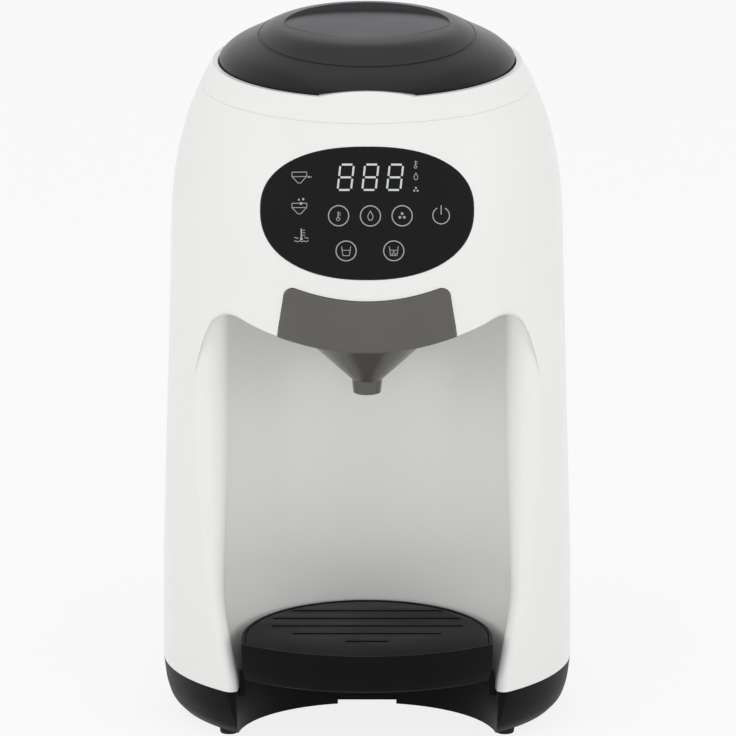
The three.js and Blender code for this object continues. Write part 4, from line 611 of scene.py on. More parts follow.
class Finishes:
    """Every finish of the object, each made once."""

    def __init__(self) -> None:
        """Makes the materials."""
        # ABS from a polished mould: high soft gloss, the faintest warm drift and orange peel
        self.white_abs = Moulded(
            "gloss_white_abs", "#f4f4f3", "#f1f1ef", 0.2, 0.07, ior=1.54, relief_size=5, relief_depth=0.02
        ).material()
        # ABS coloured through, satin from a fine stone finish: broad soft highlights
        self.graphite = Moulded(
            "graphite_abs", "#17181a", "#141517", 0.26, 0.08, ior=1.54, specular=0.2,
            relief_size=2.5, relief_depth=0.015,
        ).material()
        # The same ABS where the recess's tool is blasted, with a wide dull sheen; its paler colour is painted
        # light, a lit copy of the graphite for the bright reflection the recess floor catches
        self.recess = Moulded(
            "blasted_graphite_abs_painted_light", "#4b4c4f", "#454649", 0.5, 0.1, ior=1.54, specular=0.35
        ).material()
        # Polypropylene with a spark-eroded grain, drawn coarser than the real one so that it shows
        self.black_pp = Moulded(
            "grained_black_polypropylene", "#0b0b0b", "#090909", 0.42, 0.1, specular=0.09,
            relief_size=0.6, relief_depth=0.03,
        ).material()
        # Acrylic window, back-printed black: mirror-like top face
        self.panel = Moulded(
            "black_acrylic_panel", "#0f1010", "#0d0e0e", 0.09, 0.04, ior=1.49, specular=0.15,
            relief_size=9, relief_depth=0.004,
        ).material()
        # Smoke-tinted copolyester: grey-brown, part clear, with a soft polish
        self.smoke = Moulded(
            "smoke_copolyester", "#64625c", "#5d5b55", 0.16, 0.05, ior=1.55, transmission=0.25,
            relief_size=4, relief_depth=0.01,
        ).material()
        # Clear copolyester of the tank and hopper: faint blue-grey, glassy
        self.clear = Moulded(
            "clear_copolyester", "#dfe6ea", "#d9e1e6", 0.06, 0.03, ior=1.57, transmission=0.92,
            relief_size=8, relief_depth=0.006,
        ).material()
        # Thermoplastic rubber: dull and dusty black
        self.rubber = Moulded(
            "matt_rubber", "#1a1a1b", "#232324", 0.78, 0.12, ior=1.52, specular=0.3,
            drift_size=8, relief_size=0.4,
        ).material()
        # Acetal of the gears and the parts beside them: off-white, low sheen
        self.nylon = Moulded(
            "natural_acetal", "#e6e3da", "#dedacf", 0.42, 0.1, ior=1.48, relief_size=1.5
        ).material()
        # Zinc-plated steel: grey, streaked by the rolling
        self.steel = Moulded(
            "zinc_plated_steel", "#b4b7bb", "#a3a7ab", 0.28, 0.16, metallic=1.0,
            drift_size=12, relief_size=0.8,
        ).material()
        # Sand-cast and tumbled aluminium: pale, dimpled
        self.aluminium = Moulded(
            "tumbled_aluminium", "#b3b5b7", "#9fa2a5", 0.45, 0.15, metallic=1.0,
            drift_size=10, relief_size=1.0, relief_depth=0.06,
        ).material()
        # Silicone of the hoses and seals: cloudy white, slightly clear, soft sheen
        self.silicone = Moulded(
            "cloudy_silicone", "#dcdbd4", "#d2d1c9", 0.4, 0.12, ior=1.41, transmission=0.15, drift_size=10
        ).material()
        # Screen-printed white ink on the panel, with a faint painted glow though the print gives no light
        self.ink = Moulded(
            "white_screen_print_painted_glow", "#a9aaab", "#9fa0a1", 0.5, 0.1, drift_size=4, relief_size=0.3, glow=0.05
        ).material()
        # Lit display segments behind the acrylic
        self.lit = Moulded(
            "lit_segments", "#cdcfd0", "#c3c5c6", 0.4, 0.1, drift_size=4, relief_size=0.4, glow=0.12
        ).material()
        self.board = Board().material()


def place(
    piece: bpy.types.Object, material: bpy.types.Material, body: str, slot: str, replaced: Sequence[str] = ()
) -> bpy.types.Object:
    """Shades and dresses a new piece, sets it on its body and hides the nodes it stands for.

    Args:
        piece: the new object.
        material: its finish.
        body: the CAD body that it rides on.
        slot: the material slot's name; not used.
        replaced: the CAD nodes that it stands for.

    Returns:
        The piece.
    """
    polish(piece.data)
    piece.data.materials.clear()
    piece.data.materials.append(material)
    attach(piece, body)
    if replaced:
        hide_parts(*replaced)
    log.info("%s: %d faces on %s", piece.name, len(piece.data.polygons), body)
    return piece


# Sub-assemblies


@dataclass
class Housing:
    """The white outside: main shell with its bay, the collar round the lid and the rear cover."""

    finishes: Finishes
    body: Body = BODY
    panel_clearance: float = 0.25
    bowl_reach: float = 32.2
    plate_clearance: float = 0.25
    seam: float = 0.08
    lid_inner: float = 65.6
    ledge: float = 288.3
    bore: float = 58.5
    ahead: float = -96.0
    foot_rows: float = 34.0
    wall_rows: float = 150.0
    corner_from: float = 51.0
    corner_to: float = 64.0

    def envelope(self, name: str, inset: float, bottom: float, top: float, back: float) -> bpy.types.Object:
        """The outside of the housing as one closed skin, or the same drawn in by an inset.

        The outer skin is r(z) carried round the axis. The bay's wall is bay_plan over height, up to
        the height where bay_top meets it, and the ceiling joins that edge to the outer skin by lines
        along Y. All patches share their edges' points. The chin's edge is rounded by a quadratic
        curve between the ceiling and the skin.

        Args:
            name: the object's name.
            inset: how far the skin lies inside the visible one.
            bottom: its lowest height.
            top: its highest.
            back: y of the flat back.

        Returns:
            The closed solid.
        """
        body = self.body
        wall = np.linspace(0, WALL_SHARE, 73)
        share = np.concatenate([wall, np.linspace(WALL_SHARE, 1, 25)[1:]])
        first_guess = 185.0
        peak = np.full(share.shape, first_guess)
        for _ in range(60):
            peak = body.bay_top(body.bay_plan(peak, share, inset)[..., 0], inset)
        foot = np.linspace(bottom, self.foot_rows, 22)[:-1]
        skirt = np.linspace(self.foot_rows, body.skirt_top, 22)[:-1]
        low_rows = np.concatenate([foot, skirt, np.linspace(body.skirt_top, self.wall_rows, 33)])
        low_rows = np.broadcast_to(low_rows[:, None], (len(low_rows), len(share)))
        climb = np.linspace(0, 1, 15)[1:]
        heights = np.concatenate([low_rows, mix(self.wall_rows, peak[None, :], climb[:, None])])
        plan = body.bay_plan(heights, share[None, :], inset)
        bay = np.concatenate([plan, heights[..., None]], axis=-1)
        skin = Skin().grid(mirrored(bay))

        outside = body.radius_at(peak) - inset
        edge_x = bay[-1, :, 0]
        edge_y = -np.sqrt(np.maximum(outside**2 - edge_x**2, 0.0))
        room = np.maximum(bay[-1, :, 1] - edge_y, 0.0)
        soft = mix(body.edge_round, body.corner_round, smoothstep(self.corner_from, self.corner_to, edge_x))
        setback = np.minimum(soft, 0.72 * room) if inset == 0 else np.zeros_like(room)
        turn_in = np.stack([edge_x, edge_y + setback, peak], axis=-1)
        ceiling_share = np.linspace(0, 1, 12)[:, None, None]
        skin.grid(mirrored(mix(bay[-1][None], turn_in[None], ceiling_share)))
        side_turn = np.arctan2(edge_x, -edge_y)
        lip_height = peak + setback
        lip_radius = body.radius_at(lip_height) - inset
        lip = np.stack([lip_radius * np.sin(side_turn), -lip_radius * np.cos(side_turn), lip_height], axis=-1)
        corner = np.stack([edge_x, edge_y, peak], axis=-1)
        t = np.linspace(0, 1, 10)[:, None, None]
        skin.grid(mirrored((1 - t) ** 2 * turn_in + 2 * t * (1 - t) * corner + t**2 * lip))

        def rear_turn(z: np.ndarray) -> np.ndarray:
            """Angle from the front at which the outside meets the flat back."""
            return np.arccos(np.clip(-back / (body.radius_at(z) - inset), -1, 1))

        side_share = np.linspace(0, 1, 81)[None, :]
        side_heights = heights[:, -1]
        contact = np.arctan2(bay[:, -1, 0], -bay[:, -1, 1])
        turns = mix(contact[:, None], rear_turn(side_heights)[:, None], side_share)
        radius = (body.radius_at(side_heights) - inset)[:, None]
        level = np.broadcast_to(side_heights[:, None], turns.shape)
        side = np.stack([radius * np.sin(turns), -radius * np.cos(turns), level], axis=-1)
        side[:, 0] = bay[:, -1]
        other = flipped(side)
        skin.grid(side).grid(other)

        rows = np.linspace(0, 1, 91)[:, None]
        columns_turn = np.concatenate([side_turn, np.full(side_share.shape[1] - 1, side_turn[-1])])
        columns_rear = np.concatenate([np.zeros(len(side_turn)), side_share[0, 1:]])
        columns_low = np.concatenate([lip_height, np.full(side_share.shape[1] - 1, peak[-1])])
        z = mix(columns_low[None, :], top, rows)
        turn = columns_turn[None, :] + columns_rear[None, :] * (rear_turn(z) - side_turn[-1])
        radius = body.radius_at(z) - inset
        upper = np.stack([radius * np.sin(turn), -radius * np.cos(turn), z], axis=-1)
        upper[0, : len(side_turn)] = lip
        upper[0, len(side_turn) - 1 :] = side[-1]
        skin.grid(mirrored(upper))

        right = np.concatenate([side[:-1, -1], upper[:, -1]])
        skin.grid(np.stack([right, flipped(right)], axis=1))
        floor = np.concatenate([side[0], other[0, ::-1], mirrored(bay)[0][1:-1]])
        skin.cap(floor)
        skin.cap(mirrored(upper)[-1])
        return skin.build(name)

    def plate_outline(self, plate: "Funnel") -> np.ndarray:
        """The hole round the funnel's plate, down through the chin."""
        half = plate.outline_half(self.plate_clearance)
        low = half[-1].copy()
        x = np.linspace(low[0], 0, 24)
        under = np.stack([x, self.body.chin_at(x) - self.body.wall], axis=1)
        right = np.concatenate([half, under])
        return np.concatenate([right, flipped(right[-2:0:-1])])

    def main_shell(self, plate: "Funnel") -> bpy.types.Object:
        """The shell: its envelope less the hollow, the panel's seat, the plate's and bowl's openings."""
        body = self.body
        shell = self.envelope("shell_body", 0.0, body.bottom, body.top, body.back)
        hollow = self.envelope("hollow", body.wall, body.bottom - 2, body.top + 2, body.back + 5)
        seat = ControlPanel.outline(self.panel_clearance)
        reach, plate_back, seat_back, bowl_low = self.bowl_reach, -72.0, -55.0, 158.0
        arc = np.linspace(0, math.pi, 49)
        round_end = np.stack([reach * np.cos(arc), plate.axis_y + reach * np.sin(arc)], axis=1)
        bowl = np.concatenate([[(-reach, plate_back - 2), (reach, plate_back - 2)], round_end])
        openings = [
            prism(seat, self.ahead, seat_back, Plane.BACK),
            prism(self.plate_outline(plate), self.ahead, plate_back, Plane.BACK),
            prism(bowl, bowl_low, plate.flange_top + 0.4),
        ]
        merge(shell, [hollow, *openings], Join.CUT)
        return place(shell, self.finishes.white_abs, "housing", "shell_white", ["main_shell"])

    def collar(self) -> bpy.types.Object:
        """The ring that carries lid and hopper, with the tab that rises at its front.

        The tab's slope is a cubic from the collar's rim to the lid's dome, tangent to both.
        """
        body = self.body
        low, rim = body.top + self.seam, body.rim_height
        heights = np.linspace(low, rim, 10)
        outer = np.stack([body.radius_at(heights), heights], axis=1)
        skirt = float(body.radius_at(body.top)) - body.wall - 0.4
        skirt_inner, skirt_low = skirt - 2, low - 4
        inside = [(outer[-1][0], rim, 0), (self.lid_inner, rim, 0.5), (self.lid_inner, self.ledge, 0.4)]
        inside += [(self.bore, self.ledge, 0.4), (self.bore, low, 0.3), (skirt_inner, low, 0)]
        inside += [(skirt_inner, skirt_low, 0.4), (skirt, skirt_low, 0.4), (skirt, low, 0)]
        ring = ring_of(np.concatenate([outer, soften(inside)[1:]]), 240).build("collar_ring")
        share = np.linspace(0, 1, 15)[:, None]
        start = np.array([body.rim_radius, rim])
        end = np.array([TAB.inner, float(Lid.dome_at(TAB.inner))])
        leave, arrive = np.array([-4.2, 7.4]), np.array([-8.6, 5.9])
        slope = (
            (2 * share**3 - 3 * share**2 + 1) * start
            + (share**3 - 2 * share**2 + share) * leave
            + (3 * share**2 - 2 * share**3) * end
            + (share**3 - share**2) * arrive
        )
        foot = [(0.0, TAB.bottom), (float(body.radius_at(TAB.bottom)), TAB.bottom)]
        blunt = np.concatenate([foot, slope, [(0.0, end[1])]])
        tab = prism(TAB.outline(0.0, TAB.bottom), -90, -TAB.inner, Plane.BACK).build("tab")
        merge(tab, [revolve(blunt, 240)], Join.KEEP)
        merge(ring, [tab], Join.ADD)
        flat, skirt_flat, far, under = 71.6, 67.7, 90.0, 200
        merge(ring, [block(far, flat, far, under, 320), block(far, skirt_flat, far, under, low)], Join.CUT)
        return place(ring, self.finishes.white_abs, "housing", "shell_white", ["top_collar"])

    def rear_cover(self) -> bpy.types.Object:
        """The flat cover of the back, with a rounded face edge."""
        body = self.body
        shoulder = body.shoulder_height
        z = np.concatenate([np.linspace(body.bottom, shoulder, 30), np.linspace(shoulder, body.top, 40)[1:]])
        right = np.stack([np.sqrt(body.radius_at(z) ** 2 - body.back**2), z], axis=1)
        outline = np.concatenate([right, flipped(right[::-1])])
        centre = np.array([0.0, Lip.middle])

        def drawn_in(inset: float) -> np.ndarray:
            """The outline drawn towards its middle by about an inset."""
            away = outline - centre
            return centre + away * (1 - inset / np.abs(away).max(axis=0))

        levels = ((68.3, 0.0), (70.5, 0.0), (70.95, 0.12), (71.2, 0.4), (71.3, 0.8))
        rings = [np.insert(drawn_in(inset), 1, y, axis=1) for y, inset in levels]
        cover = closed_stack(rings).build("back_cover")
        merge(cover, [Lip.frame(body)], Join.ADD)
        return place(cover, self.finishes.white_abs, "housing", "shell_white", ["rear_cover"])


class Lip:
    """The rib inside the rear cover that locates it in the shell."""

    inset: float = 3.8
    thick: float = 2.2
    top: float = 276.0
    middle: float = 150.0
    near: float = 65.3
    far: float = 68.8

    @classmethod
    def frame(cls, body: Body) -> Skin:
        """A closed band that follows the cover's outline from inside."""
        z = np.linspace(body.bottom + cls.inset, cls.top, 40)
        half = np.sqrt((body.radius_at(z) - cls.inset) ** 2 - body.back**2)
        outer = np.concatenate([np.stack([half, z], 1), np.stack([-half, z], 1)[::-1]])
        inner = outer - np.sign(outer - np.array([0.0, cls.middle])) * cls.thick
        corners = ((outer, cls.near), (outer, cls.far), (inner, cls.far), (inner, cls.near), (outer, cls.near))
        return Skin().grid(np.stack([np.insert(ring, 1, y, axis=1) for ring, y in corners]), wrap=True)


@dataclass
class Lid:
    """The graphite lid: a flat-topped dome with a finger recess, a groove ring and the front notch."""

    finishes: Finishes
    radius: float = 65.1
    bottom: float = 288.6
    wall: float = 2.5
    recess_radius: float = 36.6
    recess_y: float = -3.0
    scoop_radius: float = 39.5
    scoop_y: float = 10.2
    scoop_floor: float = 312.85
    scoop_fall: float = 0.00105
    recess_depth: float = 7.0
    groove_radius: float = 47.7
    groove_y: float = -5.5
    rib: tuple[float, float] = (56.9, 59.3)
    edge_height: float = 297.0
    rise: float = 16.44
    power: float = 4.8
    flank_start: float = 38.5
    flank_width: float = 26.6
    flank_depth: float = 1.85

    @classmethod
    def dome_at(cls, radius: np.ndarray | float) -> np.ndarray:
        """The dome's height: a power curve over the radius, less a sin^2 hollow that flattens its flank."""
        radius = np.minimum(np.abs(radius), cls.radius)
        flank = np.sin(math.pi * np.clip((radius - cls.flank_start) / cls.flank_width, 0, 1)) ** 2
        return cls.edge_height + cls.rise * (1 - (radius / cls.radius) ** cls.power) - cls.flank_depth * flank

    def laid(self, path: np.ndarray) -> np.ndarray:
        """An (x, y) path laid just over the dome, as points."""
        return np.column_stack([path, self.dome_at(np.hypot(path[:, 0], path[:, 1])) + 0.1])

    def dome(self, inset: float, bottom: float) -> Skin:
        """The dome closed to a solid; its rim edge is rounded where it is the outer one."""
        share = np.linspace(0, 1, 65)
        radius = self.radius * np.sqrt(np.cos(share * math.pi / 2))
        radius[-1] = 0.0
        edge = self.radius - inset
        crown = np.stack([radius, self.dome_at(radius) - inset], axis=1)
        crown = crown[radius <= edge - 1.2]
        first = [(0.0, bottom, 0.0), (edge, bottom, 0.5 if inset == 0 else 0.0)]
        shoulder = (edge, float(self.dome_at(edge)) - inset, 0.9)
        start = soften([*first, shoulder, (float(crown[0][0]), float(crown[0][1]), 0.0)])
        return revolve(np.concatenate([start[:-1], crown]), 240)

    def recess(self, grow: float, drop: float) -> bpy.types.Object:
        """The finger recess as a solid.

        Two round cutters cross, so that its plan is a lens. Its floor falls to the rear by
        scoop_fall times the square of the way from its front.
        """
        front = self.scoop_y - self.scoop_radius
        y = np.linspace(front - grow - 3, self.recess_y + self.recess_radius + grow + 3, 41)
        floor = self.scoop_floor - drop - self.scoop_fall * np.maximum(y - front, 0) ** 2
        below, above = 290.0, 315.0
        outline = np.concatenate([np.stack([y, floor], axis=1), [(y[-1], above + 1), (y[0], above + 1)]])
        scoop = prism(outline, -60, 60, Plane.ACROSS).build("scoop")
        rear = prism(circle(self.recess_radius + grow, 240, 0.0, self.recess_y), below, above)
        ahead = prism(circle(self.scoop_radius + grow, 260, 0.0, self.scoop_y), below, above)
        return merge(scoop, [rear, ahead], Join.KEEP)

    def crease(self) -> Skin:
        """The fine groove along the recess's front edge, a tube that follows it on the dome."""
        half = math.radians(66)
        turn = np.linspace(-half, half, 81)
        x = self.scoop_radius * np.sin(turn)
        y = self.scoop_y - self.scoop_radius * np.cos(turn)
        return tube(self.laid(np.stack([x, y], axis=1)), 0.5, closed=False)

    def make(self) -> bpy.types.Object:
        """The lid: dome less its hollow, recess, notch and groove."""
        lid = self.dome(0.0, self.bottom).build("lid_dome")
        hollow = self.dome(self.wall, self.bottom - 2).build("hollow")
        (inner, outer), (low, high) = self.rib, (293.2, 315.0)
        rib = np.array([(inner, low), (outer, low), (outer, high), (inner, high)])
        merge(hollow, [self.recess(self.wall, self.wall), ring_of(rib, 180)], Join.CUT)
        groove = tube(self.laid(circle(self.groove_radius, 300, 0.0, self.groove_y)), 0.55)
        notch = prism(TAB.outline(0.4, self.bottom - 2), -90, 0.4 - TAB.inner, Plane.BACK)
        merge(lid, [hollow, self.recess(0.0, 0.0), notch, groove, self.crease()], Join.CUT)
        place(lid, self.finishes.graphite, "lid", "lid_graphite", ["lid"])
        self.satin(lid)
        return lid

    def satin(self, lid: bpy.types.Object) -> None:
        """Gives the recess's floor and wall the duller finish of their part of the tool, whose paler colour is
        painted light.
        """
        count = len(lid.data.polygons)
        middle = np.empty(count * 3)
        lid.data.polygons.foreach_get("center", middle)
        x, y, z = middle.reshape(-1, 3).T * 1000
        y = y - FRAME_SHIFT
        slack = 0.1
        inside = np.hypot(x, y - self.recess_y) < self.recess_radius + slack
        inside &= np.hypot(x, y - self.scoop_y) < self.scoop_radius + slack
        inside &= (z < self.dome_at(np.hypot(x, y)) - slack) & (z > self.scoop_floor - self.recess_depth)
        lid.data.materials.append(self.finishes.recess)
        lid.data.polygons.foreach_set("material_index", inside.astype(np.int32))


# Tangent of the 15 degrees from which the panel's face is seen
LEVELLING = 0.268


def on_face(x: np.ndarray, seen: np.ndarray) -> np.ndarray:
    """Height on the round front of what is seen level with seen from a little above."""
    return seen - LEVELLING * (BODY.front(x, seen) - BODY.front(x * 0, seen))


class Stroke:
    """Printed lines that lie on the control panel's face, drawn as they are seen."""

    height: float = 0.34
    sunk: float = 0.2

    @classmethod
    def line(cls, skin: Skin, path: np.ndarray, width: float, closed: bool = False) -> None:
        """Adds a ribbon along an (x, z) path, laid on the face and closed below it.

        Args:
            skin: the patches that it joins.
            path: the points of its middle line.
            width: its full width.
            closed: whether the last point joins the first.
        """
        ahead = heading(path, closed)
        side = np.stack([-ahead[:, 1], ahead[:, 0]], axis=1) * width / 2
        left, right = path + side, path - side
        rows = []
        for edge, proud in ((left, cls.sunk), (left, cls.height), (right, cls.height), (right, cls.sunk)):
            across, up = edge[:, 0], on_face(edge[:, 0], edge[:, 1])
            rows.append(np.stack([across, BODY.front(across, up, proud), up], axis=1))
        places = np.stack(rows, axis=1)
        if closed:
            places = np.concatenate([places, places[:1]])
        skin.grid(places, wrap=True)
        if not closed:
            skin.cap(places[0]).cap(places[-1])

    @classmethod
    def ring(
        cls, skin: Skin, x: float, z: float, radius: float, width: float, start: float = 0, sweep: float = 360
    ) -> None:
        """Adds an arc or, over 360 degrees, a full ring."""
        full = sweep >= 360
        turn = np.radians(start + np.linspace(0, sweep, 49))[: -1 if full else None]
        path = np.stack([x + radius * np.cos(turn), z + radius * np.sin(turn)], axis=1)
        cls.line(skin, path, width, closed=full)

    @classmethod
    def bar(cls, skin: Skin, x0: float, z0: float, x1: float, z1: float, width: float) -> None:
        """Adds a straight line, drawn in steps so that it follows the round face."""
        share = np.linspace(0, 1, 7)
        cls.line(skin, np.stack([mix(x0, x1, share), mix(z0, z1, share)], axis=1), width)


@dataclass
class ControlPanel:
    """The oval touch panel with its lit digits and printed pictograms."""

    finishes: Finishes
    proud: float = 0.3
    thick: float = 1.6
    digit_places: tuple[float, ...] = (-9.35, 1.45, 12.25)
    digit_height: float = 10.75
    digit_width: float = 5.9
    digit_middle: float = 262.85
    segment_gap: float = 0.62
    segment_width: float = 0.82
    slant: float = 0.115
    key_radius: float = 4.42
    middle: float = 245.8
    half_width: float = 46.75
    widest: float = 249.0
    reach: tuple[float, float] = (31.3, 26.4)
    power: tuple[float, float] = (2.24, 2.4)

    @classmethod
    def outline(cls, grow: float, sides: int = 240) -> np.ndarray:
        """The panel's outline: |x/a|^p + |z/b|^p = 1 as seen, laid on the round face.

        Reach and power are those below and above its widest line.

        Args:
            grow: how far it is widened.
            sides: its number of points.

        Returns:
            x and z of each point.
        """
        turn = np.arange(sides) / sides * 2 * math.pi
        c, s = np.cos(turn), np.sin(turn)
        power = np.where(s >= 0, cls.power[1], cls.power[0])
        reach = np.where(s >= 0, cls.reach[1], cls.reach[0]) + grow
        x = (cls.half_width + grow) * np.sign(c) * np.abs(c) ** (2 / power)
        seen = cls.widest + reach * np.sign(s) * np.abs(s) ** (2 / power)
        return np.stack([x, on_face(x, seen)], axis=1)

    def glass(self) -> bpy.types.Object:
        """The panel: its outline shrunk in rings over the shell's surface, with a rounded front edge."""
        x, z = self.outline(0.0).T
        back = self.proud - self.thick
        rims = [(0.0, back), (0.5, back), (1.0, back), (1.0, -0.1), (0.9985, 0.12), (0.995, 0.25)]
        rims += [(share, self.proud) for share in (0.99, *np.linspace(0.98, 0.0, 26))]
        rows = []
        for share, height in rims:
            across, up = share * x, self.middle + share * (z - self.middle)
            rows.append(np.stack([across, BODY.front(across, up, height), up], axis=1))
        panel = Skin().grid(np.stack(rows), wrap=True).build("panel_glass")
        return place(panel, self.finishes.panel, "housing", "panel_black", ["control_panel"])

    def digits(self) -> bpy.types.Object:
        """Three seven-segment eights, slanted, each segment a bar that stops short of the next."""
        skin = Skin()
        half, wide, gap = self.digit_height / 2, self.digit_width / 2, self.segment_gap
        segments = [(gap - wide, level, wide - gap, level) for level in (-half, 0.0, half)]
        for side in (-wide, wide):
            segments += [(side, gap - half, side, -gap), (side, gap, side, half - gap)]
        for place_x in self.digit_places:
            for x0, z0, x1, z1 in segments:
                start = (place_x + x0 + self.slant * z0, self.digit_middle + z0)
                end = (place_x + x1 + self.slant * z1, self.digit_middle + z1)
                Stroke.bar(skin, *start, *end, self.segment_width)
        return place(skin.build("panel_digits"), self.finishes.lit, "housing", "shell_white")

    def drop(self, skin: Skin, x: float, z: float, size: float, width: float) -> None:
        """A water drop: a circle whose top is drawn to a point."""
        turn = np.linspace(0, 2 * math.pi, 33)[:-1]
        lift = np.maximum(np.cos(turn), 0) ** 3
        across = x + size * 0.7 * np.sin(turn) * (1 - 0.75 * lift)
        up = z + size * (np.cos(turn) + 0.55 * lift)
        Stroke.line(skin, np.stack([across, up], 1), width, closed=True)

    def thermometer(self, skin: Skin, x: float, z: float, size: float, width: float) -> None:
        """A bulb with a stem and two marks."""
        Stroke.ring(skin, x, z - size * 0.7, size * 0.38, width)
        Stroke.bar(skin, x, z - size * 0.3, x, z + size, width * 1.4)
        for level in (0.25, 0.75):
            Stroke.bar(skin, x + size * 0.25, z + size * level, x + size * 0.6, z + size * level, width)

    def powder(self, skin: Skin, x: float, z: float, size: float) -> None:
        """Three grains of powder."""
        for across, up in ((-0.6, -0.4), (0.6, -0.4), (0.0, 0.6)):
            Stroke.ring(skin, x + size * across, z + size * up, size * 0.22, size * 0.3)

    def dot(self, skin: Skin, x: float, z: float, radius: float) -> None:
        """A filled dot."""
        Stroke.ring(skin, x, z, radius * 0.52, radius)

    def funnel_mark(self, skin: Skin, x: float, top: float) -> None:
        """A funnel's outline: its rim, the line under it and the cone."""
        half = [(3.25, 0.0), (3.25, -1.9), (1.15, -4.0), (0.8, -4.6)]
        path = [(-half[0][0], 0.0), *half, *((-across, down) for across, down in half[:0:-1])]
        for (x0, z0), (x1, z1) in zip(path, path[1:] + path[:1]):
            Stroke.bar(skin, x + x0, top + z0, x + x1, top + z1, 0.3)
        Stroke.bar(skin, x - 3.25, top - 1.9, x + 3.25, top - 1.9, 0.28)

    def cup_mark(self, skin: Skin, x: float, z: float, grains: bool) -> None:
        """A cup with its level, and grains of powder under it where asked."""
        sides = [(side * 2.0, 2.0, side * 1.4, -2.1, 0.3) for side in (-1, 1)]
        for x0, z0, x1, z1, width in (*sides, (-1.4, -2.1, 1.4, -2.1, 0.3), (-1.75, 0.3, 1.75, 0.3, 0.25)):
            Stroke.bar(skin, x + x0, z + z0, x + x1, z + z1, width)
        if grains:
            self.powder(skin, x, z - 0.95, 0.95)

    def marks(self) -> bpy.types.Object:
        """The printed pictograms: keys, units, power, and the three lamps at the left."""
        skin = Skin()
        keys = ((-12.49, 246.3), (1.46, 246.2), (15.35, 246.3), (-9.18, 230.75), (11.69, 230.8))
        for x, z in keys:
            Stroke.ring(skin, x, z, self.key_radius, 0.45)
        self.thermometer(skin, -12.7, 246.2, 1.9, 0.3)
        self.drop(skin, 1.46, 245.9, 1.6, 0.32)
        self.powder(skin, 15.35, 246.3, 1.6)
        self.cup_mark(skin, -9.18, 230.75, grains=False)
        self.cup_mark(skin, 11.69, 230.8, grains=True)
        Stroke.ring(skin, 32.47, 246.5, 3.65, 0.42, start=118, sweep=304)
        Stroke.bar(skin, 32.47, 247.0, 32.47, 251.0, 0.42)
        self.thermometer(skin, 21.2, 268.4, 1.5, 0.28)
        self.drop(skin, 21.4, 263.0, 1.15, 0.28)
        self.powder(skin, 21.4, 257.7, 1.2)
        self.funnel_mark(skin, -29.7, 265.2)
        Stroke.bar(skin, -25.3, 263.1, -24.2, 263.1, 0.3)
        self.dot(skin, -25.6, 263.1, 0.42)
        self.funnel_mark(skin, -29.7, 251.85)
        for across, up, size in ((-29.9, 253.4, 0.42), (-28.0, 253.6, 0.5), (-29.0, 251.75, 0.62)):
            self.dot(skin, across, up, size)
        Stroke.bar(skin, -28.8, 236.3, -28.8, 240.7, 0.62)
        self.dot(skin, -28.8, 236.2, 0.62)
        for level in (237.8, 238.9, 240.0):
            Stroke.bar(skin, -28.2, level, -27.2, level, 0.28)
        for start, end, level in ((-31.9, -30.1, 236.65), (-27.5, -25.7, 236.65), (-31.9, -25.7, 235.1)):
            wave = np.linspace(start, end, 25)
            Stroke.line(skin, np.stack([wave, level + 0.22 * np.sin((wave - start) * 3.4)], axis=1), 0.3)
        return place(skin.build("panel_marks"), self.finishes.ink, "housing", "shell_white")


